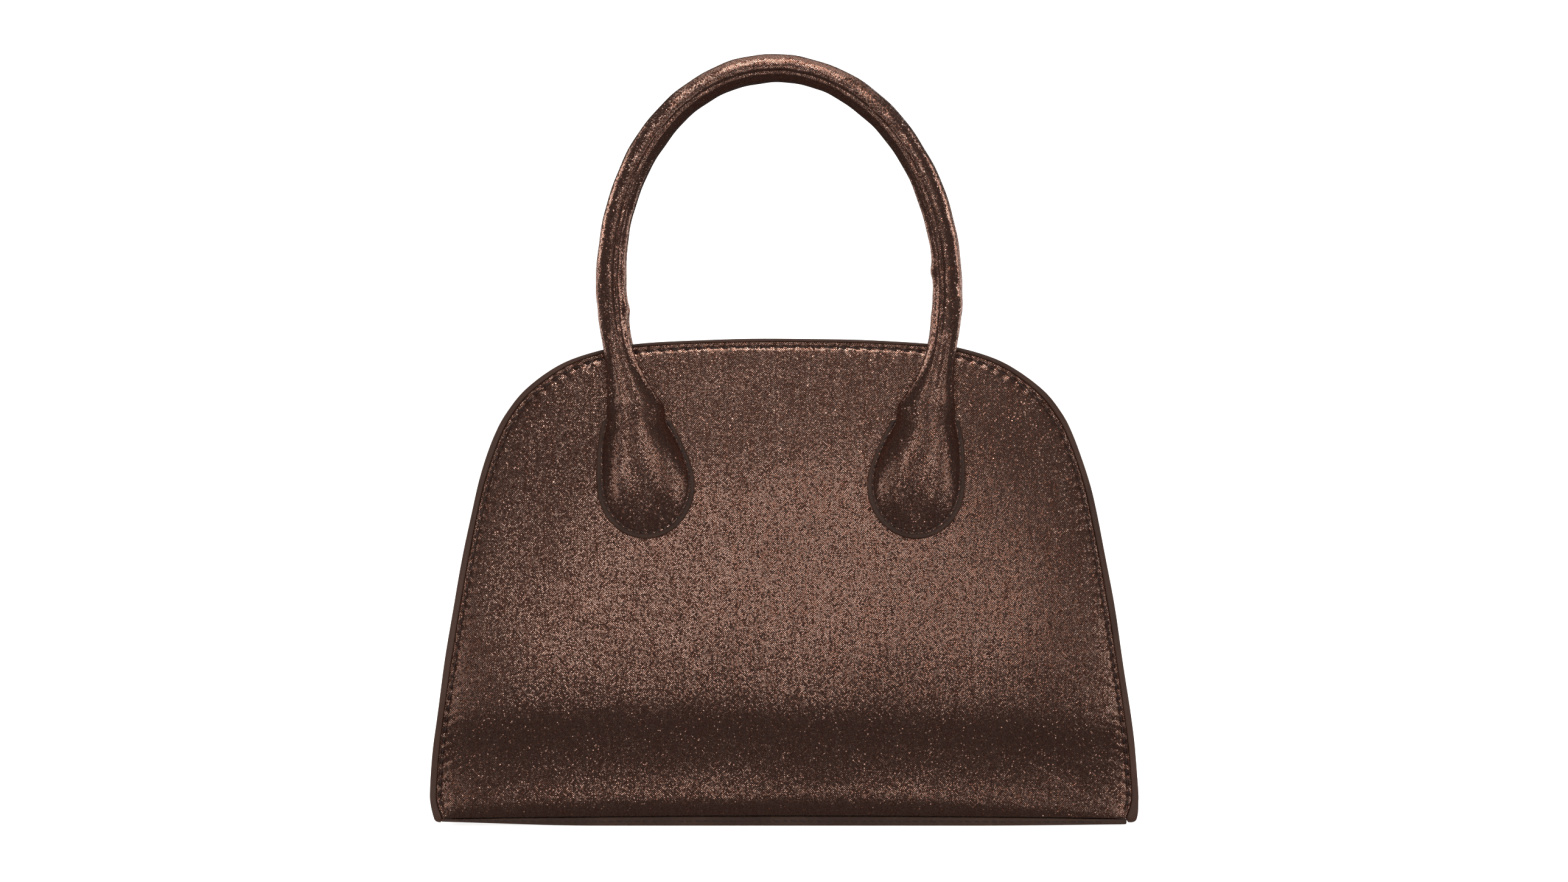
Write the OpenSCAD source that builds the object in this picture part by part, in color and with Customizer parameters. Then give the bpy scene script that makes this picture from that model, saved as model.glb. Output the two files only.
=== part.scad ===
// Small domed top handle bag: two fabric panels on edge-painted seams, soft gussets,
// a recessed zip top and two rolled handles on teardrop tabs.
// Millimetres. The front faces -Y, +Z is up, and the origin is under the middle of the base.

/* [Body] */
// Widest width of the body, just above its base
body_w = 261; // [225:1:300]
// Height of the body, from the surface it stands on to the crown
body_h = 179.2; // [155:0.2:205]
// Depth of the body at the base
base_depth = 98; // [84:1:114]
// Depth of the body at the crown
crown_depth = 55; // [50:1:66]
// How far the panels curve back towards their sides
side_turn = 5; // [2:0.5:8]
// How far the belly of a panel swells
belly = 2.5; // [0:0.5:5]
// Depth of the soft crease above the base
crease_depth = 2.2; // [0:0.2:3]
// Height of that crease
crease_z = 26; // [22:1:32]

/* [Layers] */
// Thickness of the bonded face fabric
fabric_t = 1.2; // [0.8:0.1:1.6]
// Thickness of the foam stiffener in each panel
foam_t = 2.2; // [1.5:0.1:3]
// Thickness of the lining cloth
lining_t = 0.5; // [0.4:0.1:0.8]
// Thickness of the smooth trim material, used for gussets and facings
trim_t = 1.2; // [0.9:0.1:1.6]
// How far the gussets sag inwards at mid depth
gusset_sag = 6; // [0:0.5:10]

/* [Edges] */
// Width of the painted edge at the sides
edge_side_w = 2.8; // [2:0.1:3.6]
// Width of the painted edge at the crown
edge_crown_w = 1.3; // [0.9:0.1:1.8]
// Width of the seam flange inside the painted edge
flange_w = 3; // [2.4:0.1:4]
// How far the painted edge stands proud of the fabric
edge_proud = 0.25; // [0.1:0.05:0.4]

/* [Base] */
// Thickness of the base panel
base_t = 2.4; // [1.8:0.1:3.2]
// Thickness of the stiff board on it
board_t = 2; // [1.4:0.1:2.6]
// How far the base rises towards its ends
base_bow = 1.4; // [0.6:0.1:1.6]
// Radius of the base panel's corners, seen from above
base_corner = 10; // [6:0.5:14]

/* [Handles] */
// Diameter of the rolled handle
handle_d = 10.3; // [8.6:0.1:12]
// How far the handle's centre line rises above the crown at its apex
apex_rise = 100.1; // [71:0.1:141]
// How far above the crown the straight legs become the arch
spring_rise = 20.8; // [13:0.1:26.8]
// Half the distance between the legs at that height
spring_x = 61.7; // [54:0.1:68]
// How far below the crown the line lies on which a handle tips
axis_drop = 25.2; // [19.2:0.1:31.2]
// Thickness of the handle at that line
neck_t = 8.4; // [7:0.1:9]
// Width of the handle at that line
neck_w = 21; // [18:0.1:24]
// How far the arch leans to the left of the middle at its apex
arch_shift = 3.4; // [0:0.1:5]
// Thickness of the fabric tube of a handle
tube_t = 1; // [0.7:0.1:1.4]
// How far above the crown the cord inside a leg ends
cord_rise = 10.8; // [5.8:0.1:11.8]

/* [Tabs] */
// Height of a handle tab
tab_h = 43.4; // [38:0.1:48]
// Widest width of a tab's smooth backing
tab_w = 36; // [31:0.1:41]
// Width of the backing's rim that shows round the fabric
rim_w = 1.7; // [1.2:0.1:2.4]
// Thickness of the backing
rim_t = 1.6; // [1.2:0.1:2.2]
// Distance of a tab's widest point from the middle of the panel
tab_x = 49.7; // [44:0.1:55]
// Thickness of the padded fabric at the top of a tab
tab_top_t = 4.6; // [3.6:0.1:5.2]
// Thickness of the padded fabric at its foot
tab_foot_t = 1.6; // [1.2:0.1:2.4]

/* [Zip] */
// Width of one half of the zip's tape that shows
tape_w = 8; // [6.5:0.1:9.5]
// Thickness of the tape
tape_t = 0.6; // [0.4:0.05:0.8]
// Distance from one tooth to the next on the same tape
tooth_pitch = 3; // [2.6:0.1:3.6]
// Length of a tooth along the zip
tooth_l = 1.2; // [1:0.05:1.25]
// Height of a tooth
tooth_h = 2.4; // [2:0.1:2.9]
// How far a tooth reaches out of its tape
tooth_reach = 1.9; // [1.5:0.1:2.2]
// Width of the slot between the two rows
row_gap = 1; // [0.8:0.05:1.3]
// Length of the slider
slider_l = 9; // [7.5:0.1:10.5]
// Width of the slider
slider_w = 9; // [8:0.1:10.5]
// Thickness of the slider's plates
plate_t = 1; // [0.8:0.05:1.2]
// Length of the pull, from its pin to its tip
pull_l = 17.5; // [14.5:0.1:20]
// Width of the pull's ring
ring_w = 7.2; // [6.4:0.1:8.4]
// Radius of the pull's pin and bars
pin_r = 0.6; // [0.5:0.05:0.7]

/* [Pocket] */
// Width of the slip pocket inside
pocket_w = 110; // [90:1:130]
// Height of the slip pocket
pocket_h = 62; // [50:1:72]
// Height of the pocket's foot above the base
pocket_z = 58; // [48:1:66]

/* [Hidden] */

// Colours as the photograph shows them
lurex_brown = [0.36, 0.25, 0.21];
trim_brown = [0.24, 0.17, 0.14];
lining_brown = [0.42, 0.33, 0.28];
tape_brown = [0.2, 0.13, 0.11];
foam_grey = [0.55, 0.55, 0.55];
board_grey = [0.4, 0.38, 0.35];
dull_bronze = [0.5, 0.38, 0.25];

// Clearances and overruns
lay_gap = 0.1;    // between layers that are bonded
sewn_gap = 0.3;   // between soft pieces that are sewn together
turn_gap = 0.4;   // between soft pieces that move past each other
run_gap = 0.25;   // between the slider and what it runs on
overrun = 1;      // how far a cutting shape runs past what it cuts

// Shape of the panel's skin
half_w = body_w / 2;
foot_z = base_t + sewn_gap;
lip_z = 11;
roll_under = 5.5;
crease_reach = 13;
belly_z = 75;
belly_reach = 45;
taper_power = 1.4;
turn_power = 4;

// Right half of the panel's outline, foot to crown, in shares of half the width and of the height
outline_shares = [
  [0.983, 0], [0.998, 0.031], [1, 0.056], [0.994, 0.125], [0.985, 0.184], [0.955, 0.337],
  [0.9215, 0.49], [0.882, 0.643], [0.857, 0.719], [0.8207, 0.795], [0.7845, 0.846], [0.7267, 0.897],
  [0.6276, 0.948], [0.517, 0.977], [0.41, 0.99], [0.21, 0.998], [0, 1]
];
outline_steps = 2;
zip_end_steps = 12.5;  // points of that outline up to where the gusset ends and the zip begins

// The same outline over the crown and down to the left foot
outline_turns = [for (i = [len(outline_shares) - 2:-1:0]) outline_shares[i]];
arch_shares = concat(outline_shares, [for (p = outline_turns) [-p[0], p[1]]]);

// Insets from the outer outline: [at the sides, at the crown]
no_inset = [0, 0];
edge_inset = [edge_side_w, edge_crown_w];
web_inset = edge_inset + [flange_w, flange_w];

function mix(a, b, t) = a + (b - a) * t;
function clamp(v, low, high) = min(max(v, low), high);
function between(v, low, high) = clamp((v - low) / (high - low), 0, 1);
function unit(v) = v / norm(v);
function flip(list) = [for (i = [len(list) - 1:-1:0]) list[i]];

// A smooth curve through points, as a list with a number of steps in each span
function curve_point(p, i, t) =
  let (a = p[max(i - 1, 0)], b = p[i], c = p[i + 1], d = p[min(i + 2, len(p) - 1)])
  (2 * b + (c - a) * t + (2 * a - 5 * b + 4 * c - d) * t * t + (3 * b - a - 3 * c + d) * t * t * t) / 2;
function curve(p, steps) =
  concat([for (i = [0:len(p) - 2], k = [0:steps - 1]) curve_point(p, i, k / steps)], [p[len(p) - 1]]);

// The arch of the outline as [x, z], from the right foot over the crown to the left foot
function arch_path(inset, foot = foot_z, steps = outline_steps) =
  [for (s = curve(arch_shares, steps)) [s[0] * (half_w - inset[0]), mix(foot, body_h - inset[1], s[1])]];

// Closed outline: the arch, then the foot from left to right
function closed_path(inset, foot = foot_z, steps = outline_steps, foot_steps = 12) =
  let (arch = arch_path(inset, foot, steps), reach = arch[0][0])
  concat(arch, [for (k = [1:foot_steps - 1]) [reach * (2 * k / foot_steps - 1), foot]]);

// Distance of the fabric's outer face from the middle plane at [x, z]
function skin(x, z) =
  let (
    taper = mix(base_depth / 2, crown_depth / 2, pow(clamp(z / body_h, 0, 1), taper_power)),
    swell = belly * exp(-pow((z - belly_z) / belly_reach, 2)),
    crease = crease_depth * exp(-pow((z - crease_z) / crease_reach, 2)),
    under = z < lip_z ? roll_under * pow((lip_z - z) / lip_z, 2) : 0,
    turn = side_turn * pow(abs(x) / half_w, turn_power)
  )
  taper + swell - crease - under - turn;

// A point of the front skin, moved out by an offset
function on_skin(p, out) = [p[0], -(skin(p[0], p[1]) + out), p[1]];

// Closed solid between two grids of points with the same rows and columns
module slab(top, bottom, ring = false) {
  rows = len(top);
  cols = len(top[0]);
  base = rows * cols;
  last = ring ? cols - 1 : cols - 2;
  points = concat([for (r = top, p = r) p], [for (r = bottom, p = r) p]);
  upper = [for (i = [0:rows - 2], j = [0:last])
    let (k = (j + 1) % cols) each [
      [i * cols + j, i * cols + k, (i + 1) * cols + k],
      [i * cols + j, (i + 1) * cols + k, (i + 1) * cols + j]
    ]];
  lower = [for (f = upper) [f[2] + base, f[1] + base, f[0] + base]];
  ends = [for (j = [0:last]) let (k = (j + 1) % cols, e = (rows - 1) * cols) each [
    [j, base + j, base + k], [j, base + k, k],
    [e + k, e + base + k, e + base + j], [e + k, e + base + j, e + j]
  ]];
  sides = ring ? [] : [for (i = [0:rows - 2])
    let (a = i * cols, b = a + cols, c = a + cols - 1, d = b + cols - 1) each [
      [b, base + b, base + a], [b, base + a, a],
      [c, base + c, base + d], [c, base + d, d]
    ]];
  polyhedron(points, concat(upper, lower, ends, sides));
}

// Closed solid between two offsets of the skin, over a star-shaped outline
panel_ring_shares = [0.3, 0.55, 0.68, 0.77, 0.86, 0.95, 1];
inner_ring_shares = [0.3, 0.58, 0.72, 0.82, 0.92, 1];
centre_share = 0.45;
module sheet(outline, ring_shares, out, inner) {
  n = len(outline);
  high = max([for (p = outline) p[1]]);
  low = min([for (p = outline) p[1]]);
  centre = [0, mix(low, high, centre_share)];
  flat = concat([centre], [for (s = ring_shares, p = outline) centre + s * (p - centre)]);
  base = len(flat);
  points = concat([for (p = flat) on_skin(p, out)], [for (p = flat) on_skin(p, inner)]);
  fan = [for (i = [0:n - 1]) [0, 1 + (i + 1) % n, 1 + i]];
  bands = [for (r = [0:len(ring_shares) - 2], i = [0:n - 1])
    let (a = 1 + r * n + i, b = 1 + r * n + (i + 1) % n) each [[a, b, b + n], [a, b + n, a + n]]];
  upper = concat(fan, bands);
  lower = [for (f = upper) [f[2] + base, f[1] + base, f[0] + base]];
  rim = [for (i = [0:n - 1]) let (a = base - n + i, b = base - n + (i + 1) % n)
    each [[a, b, b + base], [a, b + base, a + base]]];
  polyhedron(points, concat(upper, lower, rim));
}

module at_back() {
  mirror([0, 1, 0]) children();
}

module at_left() {
  mirror([1, 0, 0]) children();
}

// Panels, foam and painted edges
module panel() {
  color(lurex_brown) sheet(closed_path(edge_inset), panel_ring_shares, 0, -fabric_t);
}

foam_inset = web_inset + [trim_t + gusset_sag / 5 + sewn_gap, trim_t];
foam_out = -(fabric_t + 2 * sewn_gap);
inner_foot_share = 0.75;
function inner_outline() = closed_path([foam_inset[0], foam_crown], lip_z * inner_foot_share, 1);
module foam() {
  color(foam_grey) sheet(inner_outline(), inner_ring_shares, foam_out, foam_out - foam_t);
}

edge_sides = 8;
edge_squareness = 0.6;
function rounded(v) = sign(v) * pow(abs(v), edge_squareness);
module painted_edge() {
  outer = arch_path(no_inset);
  inner = arch_path(edge_inset);
  depth = fabric_t + lay_gap + trim_t;
  mid_out = -depth / 2;
  half_out = depth / 2 + edge_proud;
  margin = lay_gap / (2 * edge_crown_w);
  loops = [for (i = [0:len(outer) - 1]) [for (k = [0:edge_sides - 1])
    let (
      turn = 360 * k / edge_sides,
      across = mix(margin, 1, 0.5 + rounded(cos(turn)) / 2),
      p = mix(inner[i], outer[i], across),
      out = mid_out + half_out * rounded(sin(turn))
    )
    [p[0], -(skin(inner[i][0], inner[i][1]) + out), p[1]]]];
  color(trim_brown) tube(loops);
}

// Closed solid through a list of loops with the same number of points
module tube(loops) {
  n = len(loops[0]);
  last = (len(loops) - 1) * n;
  walls = [for (i = [0:len(loops) - 2], j = [0:n - 1])
    let (a = i * n + j, b = i * n + (j + 1) % n) each [[a, b, b + n], [a, b + n, a + n]]];
  caps = [[for (j = [n - 1:-1:0]) j], [for (j = [0:n - 1]) last + j]];
  polyhedron([for (l = loops, p = l) p], concat(walls, caps));
}

// Gussets: a web that sags between two flanges sewn behind the panels
edge_arch = arch_path(edge_inset);
web_arch = arch_path(web_inset);
gusset_last = zip_end_steps * outline_steps;
zip_half = web_arch[gusset_last][0];
zip_z = web_arch[gusset_last][1];
web_steps = 6;

// How much of the sag there is at a row: none at the zip, little at the base
sag_fade_steps = 4;
foot_sag_share = 0.2;
function sag_at(i, t) =
  gusset_sag * sin(90 * clamp((gusset_last - i) / outline_steps / sag_fade_steps, 0, 1))
  * clamp(i / outline_steps, foot_sag_share, 1) * (1 - t * t);

// Half the room between the panels at a row, less a margin on each side
function room_at(i, margin) = skin(edge_arch[i][0], edge_arch[i][1]) - fabric_t - sewn_gap - margin;

// Points of the web at a row: a depth inside its outer face, over a half room y
function web_row(i, depth, y) = [for (k = [0:web_steps])
  let (
    t = 2 * k / web_steps - 1,
    out = unit(edge_arch[i] - web_arch[i]),
    p = web_arch[i] - out * (depth + sag_at(i, t * y / room_at(i, 0)))
  )
  [p[0], y * t, p[1]]];

// One gusset cross-section: its near face for depth 0, or its far face for depth trim_t
function gusset_row(i, depth) =
  let (
    tip = edge_arch[i] - unit(edge_arch[i] - web_arch[i]) * lay_gap,
    y = room_at(i, depth)
  )
  concat([[tip[0], -y, tip[1]]], web_row(i, trim_t - depth, y), [[tip[0], y, tip[1]]]);
module gusset() {
  color(trim_brown) slab(
    [for (i = [0:gusset_last]) gusset_row(i, 0)],
    [for (i = [0:gusset_last]) gusset_row(i, trim_t)]
  );
}

// Base
base_half_l = edge_arch[0][0] - sewn_gap;
base_half_w = skin(0, foot_z);
base_flat_share = 0.7;
base_steps = 16;
module base_panel() {
  flat = base_half_l * base_flat_share;
  front = [for (k = [0:base_steps])
    let (x = base_half_l * (2 * k / base_steps - 1)) [x, -skin(x, foot_z)]];
  back = [for (p = flip(front)) [p[0], -p[1]]];
  color(trim_brown) intersection() {
    rotate([90, 0, 0]) linear_extrude(height = 2 * base_half_w, center = true) polygon([
      [-flat, 0], [flat, 0], [base_half_l, base_bow], [base_half_l, base_t], [-base_half_l, base_t],
      [-base_half_l, base_bow]
    ]);
    linear_extrude(height = base_t) polygon(concat(front, back));
    rounded_plate(base_half_l, base_half_w, base_corner, base_t);
  }
}

// A plate with round corners, standing on z = 0
module rounded_plate(half_l, half_b, corner, height) {
  for (sx = [-1, 1], sy = [-1, 1])
    translate([sx * (half_l - corner), sy * (half_b - corner), 0])
      cylinder(r = corner, h = height, $fn = 48);
  for (turn = [0, 1]) {
    size = turn ? [2 * (half_l - corner), 2 * half_b] : [2 * half_l, 2 * (half_b - corner)];
    translate([-size[0] / 2, -size[1] / 2, 0]) cube([size[0], size[1], height]);
  }
}

board_half_l = web_arch[0][0] - trim_t - gusset_sag * 0.3 - 2 * sewn_gap;
board_half_w = skin(half_w, foot_z) - fabric_t - trim_t - sewn_gap;
module base_board() {
  color(board_grey) translate([0, 0, foot_z])
    rounded_plate(board_half_l, board_half_w, base_corner / 2, board_t);
}

// Zip top. The band lies level with the upper ends of the gussets.
band_t = trim_t;
foam_crown = body_h - zip_z + band_t + tooth_h;
facing_out = -(fabric_t + lay_gap);
hinge_z = zip_z - band_t / 2;
tape_top = zip_z - band_t - lay_gap;
tape_z = tape_top - tape_t / 2;
tooth_tip = row_gap / 2;
tooth_root = tooth_tip + tooth_reach;
slider_y = slider_w / 2;
band_y = tape_w + tooth_tip;
end_reach = zip_half - trim_t * unit(edge_arch[gusset_last] - web_arch[gusset_last])[0] - sewn_gap;
end_slot = end_reach - tooth_pitch / 2;
stop_l = tooth_pitch / 2;
stop_x = end_slot - sewn_gap - stop_l / 2;
slider_x = stop_x - stop_l / 2 - run_gap - slider_l / 2;
band_right = slider_x - pull_l - 2 * turn_gap;
band_left = -(slider_x - slider_l / 2 - 2 * turn_gap);
seam_y = skin(band_left, zip_z) - fabric_t - lay_gap - trim_t;
end_half_y = skin(zip_half, zip_z) - fabric_t - lay_gap - trim_t - turn_gap;
hinge_y = seam_y - turn_gap - band_t / 2;

// Facing behind a panel's top edge, above the band's seam
module top_facing() {
  n = len(edge_arch) - 1;
  foot_points = [for (i = [gusset_last:n - gusset_last]) [web_arch[i][0], zip_z + sewn_gap]];
  tip_points = [for (i = [gusset_last:n - gusset_last])
    edge_arch[i] - unit(edge_arch[i] - web_arch[i]) * lay_gap];
  color(trim_brown) slab(
    [for (row = [foot_points, tip_points]) [for (p = row) on_skin(p, facing_out)]],
    [for (row = [foot_points, tip_points]) [for (p = row) on_skin(p, facing_out - trim_t)]]
  );
}

// Band between a seam and the zip. Its sewn edge is round, so that it can turn in the seam.
module zip_band() {
  band_l = band_right - band_left;
  color(trim_brown) translate([band_left, -hinge_y, hinge_z]) {
    rotate([0, 90, 0]) cylinder(r = band_t / 2, h = band_l, $fn = 24);
    translate([0, 0, -band_t / 2]) cube([band_l, hinge_y - band_y, band_t]);
  }
}

tape_hidden = 4;
module tape(x0, x1) {
  reach = band_y + tape_hidden - tooth_root;
  color(tape_brown) translate([x0, -tooth_root - reach, tape_z - tape_t / 2])
    cube([x1 - x0, reach, tape_t]);
}

// Row of teeth between two places along the zip; the back row stands half a pitch on
module teeth(x0, x1, shift) {
  first = ceil((x0 + tooth_l / 2 - shift) / tooth_pitch);
  last = floor((x1 - tooth_l / 2 - shift) / tooth_pitch);
  color(dull_bronze) for (i = [first:last])
    translate([i * tooth_pitch + shift - tooth_l / 2, -tooth_root, tape_z - tooth_h / 2])
      cube([tooth_l, tooth_reach, tooth_h]);
}

end_right = band_right + turn_gap;
end_left = band_left - turn_gap;
module zip_end_panels() {
  color(trim_brown) for (side = [0, 1]) {
    x0 = side ? end_right : -end_reach;
    x1 = side ? end_reach : end_left;
    slot0 = side ? x0 - overrun : -end_slot;
    slot1 = side ? end_slot : x1 + overrun;
    difference() {
      translate([x0, -end_half_y, zip_z - band_t]) cube([x1 - x0, 2 * end_half_y, band_t]);
      translate([slot0, -band_y, zip_z - band_t - overrun])
        cube([slot1 - slot0, 2 * band_y, band_t + 2 * overrun]);
    }
  }
}

module zip_end_tapes() {
  for (y = [0, 1]) mirror([0, y, 0]) {
    tape(end_right, end_slot);
    tape(-end_slot, end_left);
  }
}

module zip_end_teeth() {
  last_x = stop_x - stop_l / 2 - sewn_gap;
  teeth(end_right, last_x, 0);
  teeth(-last_x, end_left, 0);
  at_back() teeth(end_right, last_x, tooth_pitch / 2);
  at_back() teeth(-last_x, end_left, tooth_pitch / 2);
}

module zip_stops() {
  color(dull_bronze) for (sx = [-1, 1], sy = [-1, 1])
    translate([sx * stop_x - stop_l / 2, (sy > 0 ? tooth_tip : -tooth_root), tape_z - tooth_h / 2])
      cube([stop_l, tooth_reach, tooth_h]);
}

// Slider: two plates on a divider that runs between the rows, with lips that leave a slot for the tapes
plate_z = tooth_h / 2 + run_gap;
lip_t = 1;
slot_half = tape_t / 2 + run_gap;
divider_t = row_gap - 2 * run_gap;
bail_t = 0.8;
bail_w = 2.2;
pin_gap = 0.3;
pin_z = tape_z + plate_z + plate_t + pin_gap + pin_r;
module zip_slider() {
  bail_half = pin_r + pin_gap + bail_t;
  bail_h = 2 * pin_gap + 2 * pin_r + bail_t;
  color(dull_bronze) translate([slider_x, 0, tape_z]) {
    for (flip_z = [0, 1]) mirror([0, 0, flip_z]) {
      translate([-slider_l / 2, -slider_y, plate_z]) cube([slider_l, slider_w, plate_t]);
      for (sy = [0, 1]) mirror([0, sy, 0])
        translate([-slider_l / 2, slider_y - lip_t, slot_half])
          cube([slider_l, lip_t, plate_z - slot_half + plate_t / 2]);
    }
    translate([0, -divider_t / 2, -plate_z - plate_t / 2])
      cube([slider_l / 3, divider_t, 2 * plate_z + plate_t]);
    difference() {
      translate([-bail_half, -bail_w / 2, plate_z + plate_t / 2])
        cube([2 * bail_half, bail_w, bail_h + plate_t / 2]);
      translate([-bail_half + bail_t, -bail_w, plate_z + plate_t])
        cube([2 * (bail_half - bail_t), 2 * bail_w, bail_h - bail_t]);
    }
  }
}

// Pull: a ring of round bars on the slider's bail, and a folded strip on the ring
ring_l = 7;
ring_bar = 2 * pin_r;
module zip_pull_ring() {
  color(dull_bronze) translate([slider_x, 0, pin_z]) {
    for (x = [0, -ring_l]) translate([x, 0, 0]) rotate([90, 0, 0])
      cylinder(r = pin_r, h = ring_w, center = true, $fn = 24);
    for (sy = [-1, 1]) translate([-ring_l, sy * (ring_w / 2 - pin_r), 0]) rotate([0, 90, 0])
      cylinder(r = pin_r, h = ring_l, $fn = 24);
  }
}

tab_bore = pin_r + pin_gap / 2;
strip_fold_t = 0.8;
tab_eye_r = tab_bore + strip_fold_t;
strip_w = ring_w - 2 * ring_bar - 2 * pin_gap;
strip_t = 2 * strip_fold_t;
module zip_pull_tab() {
  reach = pull_l - ring_l - strip_w / 2;
  color(trim_brown) translate([slider_x - ring_l, 0, pin_z]) difference() {
    union() {
      rotate([90, 0, 0]) cylinder(r = tab_eye_r, h = strip_w, center = true, $fn = 24);
      translate([-reach, -strip_w / 2, -strip_t / 2]) cube([reach, strip_w, strip_t]);
      translate([-reach, 0, -strip_t / 2]) cylinder(r = strip_w / 2, h = strip_t, $fn = 32);
    }
    rotate([90, 0, 0]) cylinder(r = tab_bore, h = strip_w + overrun, center = true, $fn = 24);
  }
}

// Handles: an arch on two legs that flare into flat necks
apex_z = body_h + apex_rise;
spring_z = body_h + spring_rise;
axis_z = body_h - axis_drop;
cord_end_z = body_h + cord_rise;
crest_h = 1;       // how far above the crown the flare ends
flare_top = body_h + crest_h;
flare_power = 2;
leg_power = 2;
rest_gap = 0.6;    // between a handle at rest and the panel behind it
neck_x = 53.4;
neck_lean_share = 0.33;
arch_steps = 24;
flare_shares = [0, 0.15, 0.35, 0.55, 0.78, 1];
leg_shares = [0.35, 0.7];
leg_z = concat(
  [for (s = flare_shares) mix(axis_z, flare_top, s)],
  [for (s = leg_shares) mix(flare_top, spring_z, s)]
);
function flare(z) = pow(1 - between(z, axis_z, flare_top), flare_power);
function handle_w(z) = mix(handle_d, neck_w, flare(z));
function handle_h(z) = mix(handle_d, neck_t, flare(z));
function leg_x(z) = spring_x - (spring_x - neck_x) * pow(1 - between(z, axis_z, spring_z), leg_power);
function handle_lean(z) = -arch_shift * mix(neck_lean_share, 1, between(z, axis_z, apex_z));
touch_y = handle_d / 2 + turn_gap / 2;
crest_y = skin(leg_x(flare_top), body_h) + rest_gap + handle_d / 2;
function handle_y(x, z) = z > flare_top
  ? mix(crest_y, touch_y, (z - flare_top) / (apex_z - flare_top))
  : max(skin(x, z) + rest_gap + handle_h(z) / 2, crest_y);
function handle_point(x, z) = [x + handle_lean(z), -handle_y(abs(x), z), z];

right_leg = [for (z = leg_z) handle_point(leg_x(z), z)];
left_leg = [for (z = flip(leg_z)) handle_point(-leg_x(z), z)];
handle_arch = [for (k = [0:arch_steps])
  let (turn = 180 * k / arch_steps) handle_point(spring_x * cos(turn), mix(spring_z, apex_z, sin(turn)))];
handle_path = concat(right_leg, handle_arch, left_leg);

// Loop of an elliptic section round a path point, with its width in the plane of the arch.
// In the flare it turns level, so that the foot of each leg lies along the line where the handle tips.
function section(path, i, width, height, sides) =
  let (
    step = path[min(i + 1, len(path) - 1)] - path[max(i - 1, 0)],
    ahead = unit([step[0] * (1 - flare(path[i][2])), step[1], step[2]]),
    depth = unit([0, 1, 0] - ahead[1] * ahead),
    across = cross(depth, ahead)
  )
  [for (k = [0:sides - 1])
    let (turn = 360 * k / sides)
    path[i] + across * (width / 2) * cos(turn) - depth * (height / 2) * sin(turn)];

cover_sides = 12;
module handle_cover() {
  function grown(i, wall) = let (z = handle_path[i][2])
    section(handle_path, i, handle_w(z) - 2 * wall, handle_h(z) - 2 * wall, cover_sides);
  color(lurex_brown) slab(
    [for (i = [0:len(handle_path) - 1]) grown(i, 0)],
    [for (i = [0:len(handle_path) - 1]) grown(i, tube_t)],
    ring = true
  );
}

cord_sides = 8;
module handle_cord() {
  cord_d = handle_d - 2 * tube_t - 2 * sewn_gap;
  path = [for (p = handle_path) if (p[2] > cord_end_z) p];
  color(foam_grey) tube([for (i = [0:len(path) - 1]) section(path, i, cord_d, cord_d, cord_sides)]);
}

// Padding in the flared part of each leg, with a round foot on the line where the handle tips
nose_steps = 3;
nose_flat_steps = 0.4;
nose_share = 0.7;
module neck_padding() {
  for (side = [1, -1]) {
    leg = [for (z = leg_z) if (z < cord_end_z - overrun) handle_point(side * leg_x(z), z)];
    fit = 2 * (tube_t + sewn_gap);
    radius = (neck_t - fit) / 2;
    nose = [for (k = [nose_steps:-1:1])
      let (turn = 90 * k / (nose_steps + nose_flat_steps))
      [leg[0] - unit(leg[1] - leg[0]) * radius * nose_share * sin(turn), cos(turn)]];
    full = [for (p = leg) [p, 1]];
    all = concat(nose, full);
    path = [for (a = all) a[0]];
    color(foam_grey) tube([for (i = [0:len(all) - 1])
      section(path, i, handle_w(path[i][2]) - fit, (handle_h(path[i][2]) - fit) * all[i][1], cover_sides)]);
  }
}

// Tabs: shares of the height, of half the width and of the way from the tab's middle to the neck
tab_shares = [
  [0, 0.14, 0], [0.03, 0.38, 0], [0.1, 0.65, 0], [0.22, 0.88, 0], [0.38, 0.985, 0], [0.55, 1, 0.05],
  [0.72, 0.93, 0.3], [0.88, 0.81, 0.65], [1, 0.7, 0.95]
];
tab_top_z = axis_z - neck_t / 2 - 2 * turn_gap;
tab_cols = 8;
function tab_rows(rim, foot_rim) = [for (s = tab_shares)
  let (z = mix(tab_top_z - tab_h + foot_rim, tab_top_z, s[0]))
  [mix(tab_x, neck_x, s[2]), z, s[1] * (tab_w / 2 - rim)]];
tab_shift = -arch_shift * neck_lean_share;
function tab_grid(rows, out) = [for (r = rows) [for (k = [0:tab_cols])
  let (u = 1 - 2 * k / tab_cols) on_skin([r[0] + r[2] * u + tab_shift, r[1]], out)]];

// side is 1 for the right tab and -1 for the left one
module tab_backing(side) {
  rows = [for (r = tab_rows(0, 0)) [side * r[0], r[1], r[2]]];
  color(trim_brown) slab(tab_grid(rows, rim_t + lay_gap), tab_grid(rows, lay_gap));
}

tab_edge_t = 0.8;
tab_swell_power = 1.5;
tab_crown_power = 2.2;
tab_close_share = 1.04;
module tab(side) {
  rows = [for (r = tab_rows(rim_w, rim_w)) [side * r[0], r[1], r[2]]];
  foot = rim_t + 2 * lay_gap;
  top_grid = [for (i = [0:len(rows) - 1]) [for (k = [0:tab_cols])
    let (
      u = 1 - 2 * k / tab_cols,
      s = tab_shares[i][0],
      round_top = sqrt(clamp((tab_close_share - s) * 4, 0, 1)),
      crown = mix(tab_foot_t, tab_top_t, pow(s, tab_swell_power)) * round_top,
      out = foot + tab_edge_t + (crown - tab_edge_t) * (1 - pow(abs(u), tab_crown_power))
    )
    on_skin([rows[i][0] + rows[i][2] * u + tab_shift, rows[i][1]], out)]];
  color(lurex_brown) slab(top_grid, tab_grid(rows, foot));
}

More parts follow.
